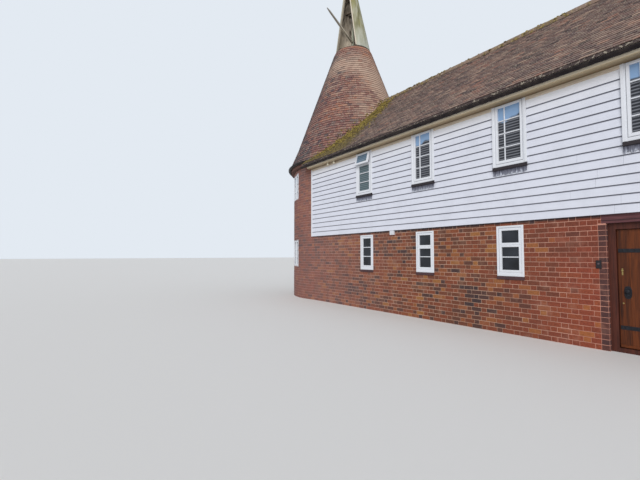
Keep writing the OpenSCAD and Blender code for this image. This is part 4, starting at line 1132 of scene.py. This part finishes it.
door_wood = timber("oiled_oak_door", "#291108", "#683415", (45.0, 45.0, 2.5), 0.5)
frame_wood = timber("red_brown_stained_timber", "#381c16", "#5f3023", (45.0, 45.0, 2.5), 0.55)
lintel_wood = timber("red_brown_stained_lintel", "#46292d", "#74484a", (2.5, 45.0, 45.0),
                     groove_z=lintel_low[2] + 0.045)
inner_wood = timber("sawn_softwood", "#6d5338", "#9a7a55", (3.0, 40.0, 40.0), 0.8)
dark_wood = timber("tarred_curb_timber", "#15100f", "#2c221e", (6.0, 6.0, 40.0), 0.8)
lining_wood_with_painted_light = timber("old_boards_inside_the_cowl", "#2e231a", "#e6d7c1", (14.0, 14.0, 2.0), 0.85)
finish_nodes(door_wood, "door_leaf")
finish_nodes(frame_wood, "door_frame")
finish_nodes(lintel_wood, "door_lintel")
finish_nodes(inner_wood, "upper_floor", "drying_floor", "cowl_bearings")
finish_nodes(dark_wood, "cowl_curb")

# %% [markdown]
# Under the kiln's gutter the eaves course is dark brown: painted shade. Lime plaster
# and smooth concrete are matt mineral coats with soft stains, and the recipe for paint
# makes all three.

# %% Painted shade under the kiln's eaves, plaster and concrete
# Painted shade: the kiln's eaves course is coloured dark where its gutter shades it.
eaves_course = painted("dark_eaves_course_in_painted_shade", "#69493f", "#3d2a27", (6.0, 6.0, 40.0), 0.85, 0.5)
plaster = painted("lime_plaster", "#cfc6b4", "#a89c86", (12.0, 12.0, 12.0), 0.9, 0.3)
screed = painted("smooth_concrete_floor", "#98948c", "#6f6b64", (20.0, 20.0, 20.0), 0.8, 0.5)
finish_nodes(eaves_course, "kiln_eaves")
finish_nodes(plaster, "front_upper_wall", "back_upper_wall", "gable_upper_wall")
finish_nodes(screed, "stowage_floor", "kiln_floor")

# %% [markdown]
# The front door is six upright oak boards with a weather bar at the foot. No two
# boards are of one brown, so each has its own tone. Every piece of the door rides on
# it, so it all swings together.

# %% The door
leaf_front, leaf_bottom, leaf_top = *low["door_leaf"][1:], high["door_leaf"][2]
leaf_left, leaf_right = low["door_ironwork"][0], high["door_ironwork"][0]
board_tones = [0.2, 0.75, 0.4, 0.9, 0.1, 0.6]
board_wide = (leaf_right - leaf_left) / len(board_tones)
board_middles = leaf_left + (np.arange(len(board_tones)) + 0.5) * board_wide
origin = spots(board_middles, leaf_front - 0.003, (leaf_bottom + leaf_top) / 2)
door_boards = blocks(origin, X, up, -Y, board_wide - 0.001, leaf_top - leaf_bottom, 0.006, 0.0028)
make_piece("door_boards", door_boards, door_wood, "door_wood", body="door", tone=board_tones)
bar_outline = [[0, 0], [0.032, 0.002], [0.034, 0.010], [0.008, 0.038], [0, 0.040]]
weather_bar = carry(bar_outline, [leaf_left + 0.01, leaf_front, leaf_bottom + 0.006],
                    [leaf_right - 0.01, leaf_front, leaf_bottom + 0.006], -Y)
make_piece("door_weather_bar", weather_bar, door_wood, "door_wood", body="door", tone=1.0)

# %% [markdown]
# Two black iron straps are held by round bolt heads. The handle is a plate with a
# knob and a ring, over it is a small brass latch. Bolts and knobs are turned shapes,
# and the plate's outline is a circle drawn out towards a rectangle.

# %% Ironwork of the door
iron_finish = speckled("black_wrought_iron", 60.0, "#101116", "#24252c", (0.3, 0.75), 3.0, (0.002, 0.6),
                       Roughness=0.6, IOR=1.5, Specular_IOR_Level=0.3)
dome = [(0, -0.002), (0.011, 0.0), (0.010, 0.004), (0.006, 0.007), (0, 0.008)]
strap_heights = leaf_bottom + 0.308, leaf_top - 0.332
parts = []
for z in strap_heights:
    middle = spots((leaf_left + leaf_right) / 2, leaf_front - 0.009, z)
    parts.append(blocks(middle[None], X, up, -Y, leaf_right - leaf_left - 0.02, 0.060, 0.008))
    parts.append(revolved(dome, spots(board_middles, leaf_front - 0.009, z), -Y, 10))
plate = spots(leaf_left + 0.115, leaf_front, leaf_bottom + 0.855)
circle = around(full_turn(24))
shield = np.sign(circle) * np.abs(circle) ** [0.7, 0.8] * [0.047, 0.098]
parts.append(carry(shield, plate - 0.002 * Y, plate - 0.008 * Y, X))
knob = [(0, -0.002), (0.016, 0.0), (0.012, 0.012), (0.013, 0.020), (0.028, 0.028), (0.032, 0.036),
        (0.026, 0.045), (0.012, 0.049), (0, 0.050)]
parts.append(revolved(knob, plate + [0, -0.007, 0.02], -Y, 20))
ring, tube = full_turn(28)[:, None], full_turn(8)
reach = 0.036 + 0.005 * np.cos(tube)
loop = plate + [0, -0.020, -0.036] + spots(reach * np.cos(ring), -0.005 * np.sin(tube), reach * np.sin(ring))
parts.append((loop.reshape(-1, 3), grid_faces(29, 8, True)[:, ::-1] % (28 * 8)))
iron_piece = make_piece("door_straps_and_handle", parts, iron_finish, "iron", body="door")
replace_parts(iron_piece, "door_ironwork")

brass_finish = speckled("tarnished_brass", 400.0, "#8d7747", "#bba772", Roughness=0.45, Metallic=1.0)
latch = [(0, -0.002), (0.016, 0.0), (0.016, 0.008), (0.013, 0.012), (0.006, 0.0125), (0.005, 0.010),
         (0, 0.010)]
small = [(0, -0.002), (0.012, 0.0), (0.011, 0.003), (0.005, 0.004), (0, 0.003)]
latch_at = spots(leaf_left + 0.055, leaf_front - 0.003, leaf_bottom + 1.195)
make_piece("door_latch", [
    revolved(latch, latch_at, -Y, 20),
    blocks((latch_at + [0, -0.003, -0.020])[None], X, up, -Y, 0.018, 0.105, 0.004, 0.001),
    revolved(small, latch_at - 0.510 * up, -Y, 16)], brass_finish, "iron", body="door")

# %% [markdown]
# Cast gutters hang from brackets every 0.9 m, and are painted black. The half-round
# itself is the CAD solid; the brackets are a strap bent under it, and wider straps
# join its lengths.

# %% Gutters and brackets
gutter_finish = speckled("black_gutter_paint", 7.0, "#1b1517", "#3a322e", (0.4, 0.8), 5.0,
                         Roughness=0.5, IOR=1.5, Specular_IOR_Level=0.2)
finish_nodes(gutter_finish, "gutters", "kiln_gutter")
gutter_left, gutter_right = low["gutters"][0], high["gutters"][0]
gutter_r, bracket_spacing, collar_spacing = 0.057, 0.9, 3.6
gutter_y, gutter_z = -low["gutters"][1] - gutter_r, low["gutters"][2] + gutter_r
bend = around(np.radians(np.linspace(180, 365, 14)))
strap = np.vstack([bend * (gutter_r + 0.004), bend[::-1] * (gutter_r - 0.001)])
bracket_x = np.arange(gutter_left + 0.35, gutter_right, bracket_spacing)
collar_x = np.arange(gutter_left + 2.9, gutter_right - 1, collar_spacing)
parts = []
for side in (-1.0, 1.0):
    for xs, half, size in ((bracket_x, 0.014, 1.0), (collar_x, 0.05, 1.02)):
        parts += [carry(strap * size, [x - half, side * gutter_y, gutter_z],
                        [x + half, side * gutter_y, gutter_z], side * Y) for x in xs]
    back = spots(bracket_x, side * (gutter_y - gutter_r - 0.0005), gutter_z - 0.004)
    parts.append(blocks(back, -side * X, up, side * Y, 0.028, 0.06, 0.006, 0.001))
make_piece("gutter_brackets", parts, gutter_finish, "gutter_black")

# %% [markdown]
# The paint of the cowl has weathered grey and grown green in streaks, and is paler
# near its foot. Its post is darker higher up inside it, as painted shade, and the arm
# has painted shade on its underside and turns greyer towards its tip.

# %% Cowl paint
cowl_foot = low["cowl_shell"][2]
cowl_paint, tree, shader, place = new_finish("weathered_white_paint_with_algae", Roughness=0.75, IOR=1.5)
run = add(tree, "Mapping", place, Scale=(9.0, 9.0, 1.1))
streaks = add(tree, "TexNoise", run, Scale=1.0, Detail=6.0)
pale = add(tree, "ValToRGB", streaks, stops=[
    (0.28, "#5b593f"), (0.42, "#837f5e"), (0.55, "#a29f86"), (0.75, "#b9b8a7")])
patch = add(tree, "TexNoise", place, Scale=5.0, Detail=6.0)
algae = add(tree, "ValToRGB", patch, stops=[(0.5, 0.0), (0.72, 0.75)])
coat = add(tree, "MixRGB", algae, pale, "#8f8a55")
near_foot = by_height(tree, place, cowl_foot, cowl_foot + 0.9, 0.65, 0.0)
coat = add(tree, "MixRGB", near_foot, coat, "#bdc0b5")
grain = add(tree, "TexNoise", run, Scale=12.0, Detail=4.0)
relief = add(tree, "Bump", Height=grain, Distance=0.003, Strength=0.5)
feed(shader, {"Base Color": coat, "Normal": relief})
finish_nodes(cowl_paint, "cowl_cap")

edge_paint = painted("cream_paint_on_mouth_boards", "#d8ccb8", "#a39c86", (30.0, 30.0, 3.0), 0.7, 0.5)
finish_nodes(edge_paint, "cowl_cheeks")

post_paint, tree, shader, place = new_finish("grey_weathered_post", Roughness=0.8, IOR=1.5)
grain = stretched(tree, place, (40.0, 40.0, 3.0), 5.0)
grey = add(tree, "ValToRGB", grain, stops=[(0.3, "#8f917c"), (0.7, "#c3c6b4")])
# Painted shade: the post is darker higher up, inside the cowl.
sooty = by_height(tree, place, cowl_foot + 0.75, cowl_foot + 1.35)
feed(shader, {"Base Color": add(tree, "MixRGB", sooty, grey, "#74675a")})
finish_nodes(post_paint, "cowl_post")

arm_paint, tree, shader, place = new_finish("cream_paint_on_the_arm", Roughness=0.7, IOR=1.5)
# Painted shade: faces of the arm that look down are darker, by their normal.
upward = add(tree, "SeparateXYZ", add(tree, "NewGeometry", result="Normal"), result="Z")
worn = add(tree, "TexNoise", place, Scale=14.0, Detail=4.0)
shifted = add(tree, "Math", upward, worn, operation="ADD")
underside_painted_shade = add(tree, "ValToRGB", shifted, stops=[(0.0, "#aba28e"), (0.3, "#c9bea8"), (0.75, "#e4dac6")])
outward = add(tree, "Attribute", result="Fac", attribute_name="tone")
# The arm turns greyer towards its tip.
greyer_towards_tip = add(tree, "MapRange", outward, 0.40, 0.62, 0.0, 0.85)
feed(shader, {"Base Color": add(tree, "MixRGB", greyer_towards_tip, underside_painted_shade, "#8b867c")})

# %% [markdown]
# The cowl is a leaning cone of narrow upright boards. In the cone's own directions, a
# point is its foot, plus the way along the axis, plus the radius at that height times
# a direction round the axis. The foot is cut level, which gives each angle its own
# starting height.

# %% Points on the cowl
cowl_radius, cowl_top_radius, cowl_length = 0.695, 0.140, 3.010
cowl_lean, cowl_heading = math.radians(5), math.radians(-69)
mouth_foot_half, mouth_head_half, mouth_head = 0.452, 0.040, 0.260
heading, sideways = compass(cowl_heading)
cowl_axis = math.sin(cowl_lean) * heading + math.cos(cowl_lean) * up
cowl_front = math.cos(cowl_lean) * heading - math.sin(cowl_lean) * up
cowl_centre = np.array([kiln_x, 0, cowl_foot])
cowl_taper = (cowl_radius - cowl_top_radius) / cowl_length
mouth_taper = (mouth_foot_half - mouth_head_half) / (cowl_length - mouth_head)


def cowl_point(turn, along, inset):
    """Points at an angle from the mouth, a way along the leaning axis and a depth
    inside the boards: centre + along * axis + (radius - inset) * direction."""
    reach = (cowl_radius - cowl_taper * along - inset)[..., None]
    return cowl_centre + along[..., None] * cowl_axis + reach * (around(turn) @ [cowl_front, sideways])


def cowl_turn(share, along):
    """Angle of a share of the way round, 0 and 1 being the two edges of the mouth, and
    -1 to 0 the way across the mouth itself. An edge lies at the arc sine of half the
    mouth's width over the radius at that height."""
    half = np.maximum(mouth_foot_half - mouth_taper * along, 0.001)
    edge = np.arcsin(half / (cowl_radius - cowl_taper * along))
    return np.where(share < 0, edge * (1 + 2 * share), edge + share * (2 * np.pi - 2 * edge))


def level_foot(share, inset):
    """Way along the axis at which the leaning cone passes the level of its foot; the
    angle depends on it a little, so it is worked out four times over."""
    along = 0 * share
    for step in range(4):
        dip = np.cos(cowl_turn(share, along)) * math.sin(cowl_lean)
        along = (cowl_radius - inset) * dip / (math.cos(cowl_lean) + cowl_taper * dip)
    return along


def cowl_board(start, stop, bottom, top, outer, inner, columns=3, rows=9):
    """A closed curved board between two shares of the way round, two heights and two
    depths. Without a bottom it starts at the level foot."""
    share = np.linspace(start, stop, columns)
    rise = np.linspace(0, 1, rows)[:, None]
    skins = []
    for inset, order in ((outer, 1), (inner, -1)):
        base = level_foot(share, inset) if bottom is None else np.full(columns, bottom)
        along = base + rise * (top - base)
        skins.append(cowl_point(cowl_turn(share, along), along, inset)[:, ::order])
    k = 2 * columns
    ends = np.array([[i, i + 1, k - 2 - i, k - 1 - i] for i in range(columns - 1)])
    faces = np.vstack([grid_faces(rows, k, True), ends[:, ::-1], ends + (rows - 1) * k])
    return np.concatenate(skins, 1).reshape(-1, 3), faces

# %% [markdown]
# Each board is one patch on that cone with an outer and an inner skin, pushed in or
# out by up to 2 mm. One short patch closes the cone over the mouth. A thin lining
# inside has the brown of old boards, with painted light: paler near its foot and on
# the side where light comes in through the mouth, and darker higher up as painted shade.

# %% Cowl boards
rng = np.random.default_rng(51)
cowl_board_count = 22
edges = np.linspace(0, 1, cowl_board_count + 1)
board_ends = list(zip(edges[:-1], edges[1:]))
parts = []
for a, b in board_ends:
    push = rng.uniform(-0.002, 0.002)
    parts.append(cowl_board(a + 0.0005, b - 0.0005, None, cowl_length, push, 0.022 + push))
parts.append(cowl_board(-0.98, -0.02, cowl_length - mouth_head, cowl_length, 0.0, 0.022, rows=3))
cowl_piece = make_piece("cowl_boards", parts, cowl_paint, "cowl_white", body="cowl")
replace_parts(cowl_piece, "cowl_shell")

points, faces = joined([cowl_board(a + 0.0004, b - 0.0004, None, cowl_length - 0.01, 0.024, 0.029)
                        for a, b in board_ends])
# Painted light and shade: tone by height and by side, pale at the foot and on one side, dark above.
tone = np.interp(points[:, 2] - cowl_foot, [0, 0.35, 0.6, 1.0, 1.8], [1.6, 1.2, 0.2, -0.5, -0.7])
make_piece("cowl_lining", (points, faces), lining_wood_with_painted_light, "oak", body="cowl",
           tone=tone - 2.2 * (points - cowl_centre) @ sideways)

# %% [markdown]
# The arm that steers the cowl is a squared pole with worn corners, thinner towards its
# tip. Its two ends are measured on the solid, and rings of eight points join them. A
# corner lies 1.24 times as far out as the middle of a side.

# %% The arm of the cowl
corner_reach = 1.24
arm = node_points("vane_arm")
reach = (arm - cowl_centre) @ heading
far_end, near_end = arm[reach > reach.max() - 0.02].mean(0), arm[reach < reach.min() + 0.02].mean(0)
way = (far_end - near_end) / np.linalg.norm(far_end - near_end)
arm_up = np.cross(way, sideways)
arm_up *= np.sign(arm_up[2])
share = np.linspace(0, 1, 12)
half = corner_reach * np.interp(share, [0, 0.55, 0.93, 1], [0.033, 0.033, 0.026, 0.012])
ring = around(np.radians([38, 52, 128, 142, 218, 232, 308, 322])) @ [sideways, arm_up]
points = (near_end + share[:, None] * (far_end - near_end))[:, None] + half[:, None, None] * ring
caps = np.array([np.arange(8)[::-1], np.arange(8) + 8 * 11])
order = int(np.sign(np.dot(np.cross(sideways, arm_up), way)))
faces = [grid_faces(12, 8, True)[:, ::order], caps[:, ::order]]
arm_piece = make_piece("cowl_arm", (points.reshape(-1, 3), faces), arm_paint, "cowl_white",
                       body="cowl", tone=share)
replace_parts(arm_piece, "vane_arm")

# %% [markdown]
# Moss grows in small cushions where the roofs meet and along the ridge. Each cushion
# is a dome of a few faces. Their places are drawn at random along the line where the
# slope meets the cone, found by solving the two surfaces for each height.

# %% Moss
moss_finish, tree, shader, place = new_finish("roof_moss", Roughness=0.95, IOR=1.4)
tuft = add(tree, "TexNoise", place, Scale=30.0, Detail=5.0)
tone = add(tree, "Attribute", result="Fac", attribute_name="tone")
mixed = add(tree, "Math", tone, 0.55, tuft, operation="MULTIPLY_ADD")
green = add(tree, "ValToRGB", mixed, stops=[
    (0.45, "#332b16"), (0.65, "#5a4b25"), (0.85, "#7a6930"), (1.0, "#9a8740")])
fuzz = add(tree, "Bump", Height=tuft, Distance=0.01, Strength=0.8)
feed(shader, {"Base Color": green, "Normal": fuzz})

# %% Places of the cushions
rng = np.random.default_rng(61)
count, ridge_count = 4200, 260
z = rng.uniform(cone_levels[0] + 0.02, ridge_z - 0.02, count)
reach = np.abs(rng.normal(0, 0.27, count)) * (1 + 0.35 * (ridge_z - z))
on_cone = rng.random(count) < 0.06
y = np.maximum(tile_edge - (z - tile_edge_z) / math.tan(pitch), 0.0)
y *= np.where(rng.random(count) < 0.5, -1, 1)
x = np.sqrt(np.maximum(cone_radius(z) ** 2 - y ** 2, 0)) + np.where(on_cone, 0, reach)
z_on = z + np.where(on_cone, 0.3 * reach, 0)
shrink = np.where(on_cone, cone_radius(z_on) / cone_radius(z), 1)
valley = spots(kiln_x + x * shrink, y * shrink, z_on)
radial = spots(*(around(np.arctan2(y, x)).T), 0.35)
slope_out = spots(0, np.where(y < 0, -1, 1) * math.sin(pitch), math.cos(pitch))
normal = np.where(on_cone[:, None], radial, slope_out)
ridge_x = kiln_x + 1.6 + rng.exponential(2.6, ridge_count)
ridge_x = ridge_x[ridge_x < verge - 0.1]
ridge_side = rng.uniform(-1.25, 1.25, len(ridge_x))
ridge_normal = spots(0, np.sin(ridge_side), np.cos(ridge_side))
on_ridge = spots(ridge_x, 0, crown_z) + ridge_normal * (ridge_radius + 0.003)
centre = np.vstack([valley + normal * 0.012, on_ridge])
normal = np.vstack([normal, ridge_normal])
normal /= np.linalg.norm(normal, axis=1)[:, None]
size = rng.uniform(0.014, 0.050, len(centre)) * rng.uniform(0.6, 1.0, len(centre))
print("cushions:", len(valley), "in the valley,", len(on_ridge), "on the ridge")

# %% Domes of moss
turn = full_turn(6)
dome = np.vstack([[0, 0, 0.62], spots(0.62 * np.cos(turn), 0.62 * np.sin(turn), 0.42),
                  spots(np.cos(turn + 0.4), np.sin(turn + 0.4), -0.05), [0, 0, -0.3]])
ring = np.arange(6)
after = (ring + 1) % 6
dome_quads = np.stack([1 + ring, 7 + ring, 7 + after, 1 + after], 1)
dome_fans = np.vstack([spots(0, 1 + ring, 1 + after), spots(13, 7 + after, 7 + ring)]).astype(int)
level = np.cross(normal, rng.normal(0, 1, normal.shape))
level /= np.linalg.norm(level, axis=1)[:, None]
points = stamp(dome * size[:, None, None], centre, level, np.cross(normal, level), normal)
faces = [repeat_faces(f, len(centre), 14) for f in (dome_quads, dome_fans)]
make_piece("moss_cushions", (points, faces), moss_finish, "roof_tiles", smooth=True,
           tone=rng.random(len(centre)))

# %% [markdown]
# Small fittings on the front wall: a dark bell push, a white vent box and two lamps
# under the soffit. Moulded plastic is smooth, so its rounded edges catch the light.

# %% Fittings
plastic, tree, shader, place = new_finish("moulded_plastic", Roughness=0.3, IOR=1.46)
fine = add(tree, "TexNoise", place, Scale=300.0, Detail=2.0)
pale = add(tree, "ValToRGB", fine, stops=[(0.3, "#c9cacf"), (0.7, "#dcdde2")])
x, y = (add(tree, "SeparateXYZ", place, result=key) for key in "XY")
at_door = add(tree, "Math", x, door_left - 1.0, operation="GREATER_THAN")
proud = add(tree, "Math", y, -brick_face - 0.0245, operation="LESS_THAN")
bell = add(tree, "MixRGB", proud, "#19161b", "#54474c")
feed(shader, {"Base Color": add(tree, "MixRGB", at_door, pale, bell)})
bell_at = spots(door_left - 0.106, -brick_face - 0.024, 1.362)
box_at = spots(first_window + 1.0175, -brick_face - 0.060, boards_bottom - 0.060)
button = [(0, -0.003), (0.016, 0.0), (0.015, 0.005), (0.008, 0.007), (0, 0.0075)]
slats = spots(box_at[0], box_at[1] - 0.002, box_at[2] + 0.018 * np.arange(-2, 3))
fitting_piece = make_piece("bell_and_vent_box", [
    blocks(np.stack([bell_at, box_at]), X, up, -Y, [0.072, 0.135], [0.130, 0.110], 0.07, 0.006),
    revolved(button, bell_at + 0.01 * up, -Y, 18),
    blocks(slats, X, up, -Y, 0.105, 0.008, 0.006, 0.0015)], plastic, "fittings")

lamp_finish = speckled("cream_lamp_housing", 80.0, "#cfc6ac", "#e9e2cc", Roughness=0.4, IOR=1.46)
lamp = [(0, 0), (0.034, 0.0), (0.034, 0.010), (0.014, 0.016), (0.014, 0.024), (0.030, 0.034),
        (0.037, 0.050), (0.034, 0.064), (0.022, 0.071), (0, 0.074)]
lamp_at = spots(roof_left + np.array([1.250, 1.560]), -board_face - 0.110, soffit_z + 0.001)
make_piece("soffit_lamps", revolved(lamp, lamp_at, -up, 20), lamp_finish, "fittings", smooth=True)
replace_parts(fitting_piece, "wall_fittings")

# %% [markdown]
# The stage is a pale floor, a pale world and soft light: one wide sun from the right
# and in front, and the world's own light for the shadows. A colour then renders
# about as it is written. The pale blue backdrop is only for what the camera, mirrors
# and glass see.

# %% Floor, light and world
bpy.ops.mesh.primitive_plane_add(size=400)
floor = bpy.context.active_object
floor.name = "floor"
floor_finish = new_finish("pale_floor", Base_Color="#eae8e4", Roughness=0.9, IOR=1.45)[0]
floor.data.materials.append(floor_finish)

sun = bpy.data.objects.new("sun", bpy.data.lights.new("sun", "SUN"))
sun.data.energy, sun.data.angle = 2.02, math.radians(38)
sun_from = np.array([0.55, -0.62, 0.36])
yaw = math.atan2(sun_from[0], -sun_from[1])
sun.rotation_euler = (math.acos(sun_from[2] / np.linalg.norm(sun_from)), 0, yaw)
bpy.context.scene.collection.objects.link(sun)

world = bpy.data.worlds.new("pale_world")
bpy.context.scene.world = world
world.use_nodes = True
tree = world.node_tree
tree.nodes.clear()
camera_ray, glossy_ray, clear_ray = (
    add(tree, "LightPath", result=f"Is {kind} Ray") for kind in ("Camera", "Glossy", "Transmission"))
mirrored = add(tree, "Math", camera_ray, glossy_ray, operation="MAXIMUM")
seen = add(tree, "Math", mirrored, clear_ray, operation="MAXIMUM")
light = add(tree, "Background", "#e9eef7", 0.60)
backdrop = add(tree, "Background", "#e3eaf2", 1.0)
both = add(tree, "MixShader", seen, light, backdrop)
feed(tree.nodes.new("ShaderNodeOutputWorld"), {"Surface": both})
bpy.context.scene.view_settings.view_transform = "Standard"

# %% [markdown]
# The camera stands at eye height, where the lines of boards, eaves and sills say that
# the picture was taken from. Its lens is given for a sensor 36 mm wide.

# %% The camera
camera = bpy.data.objects.new("camera", bpy.data.cameras.new("camera"))
camera.data.sensor_width, camera.data.lens = 36, 19.81
camera.data.clip_start, camera.data.clip_end = 0.05, 500
camera.location = (5.475, -9.264, 1.514)
camera.rotation_euler = (math.radians(92.47), math.radians(0.056), math.radians(53.66))
bpy.context.scene.collection.objects.link(camera)
bpy.context.scene.camera = camera
print("camera at", [round(part, 3) for part in camera.location], "lens", round(camera.data.lens, 2))
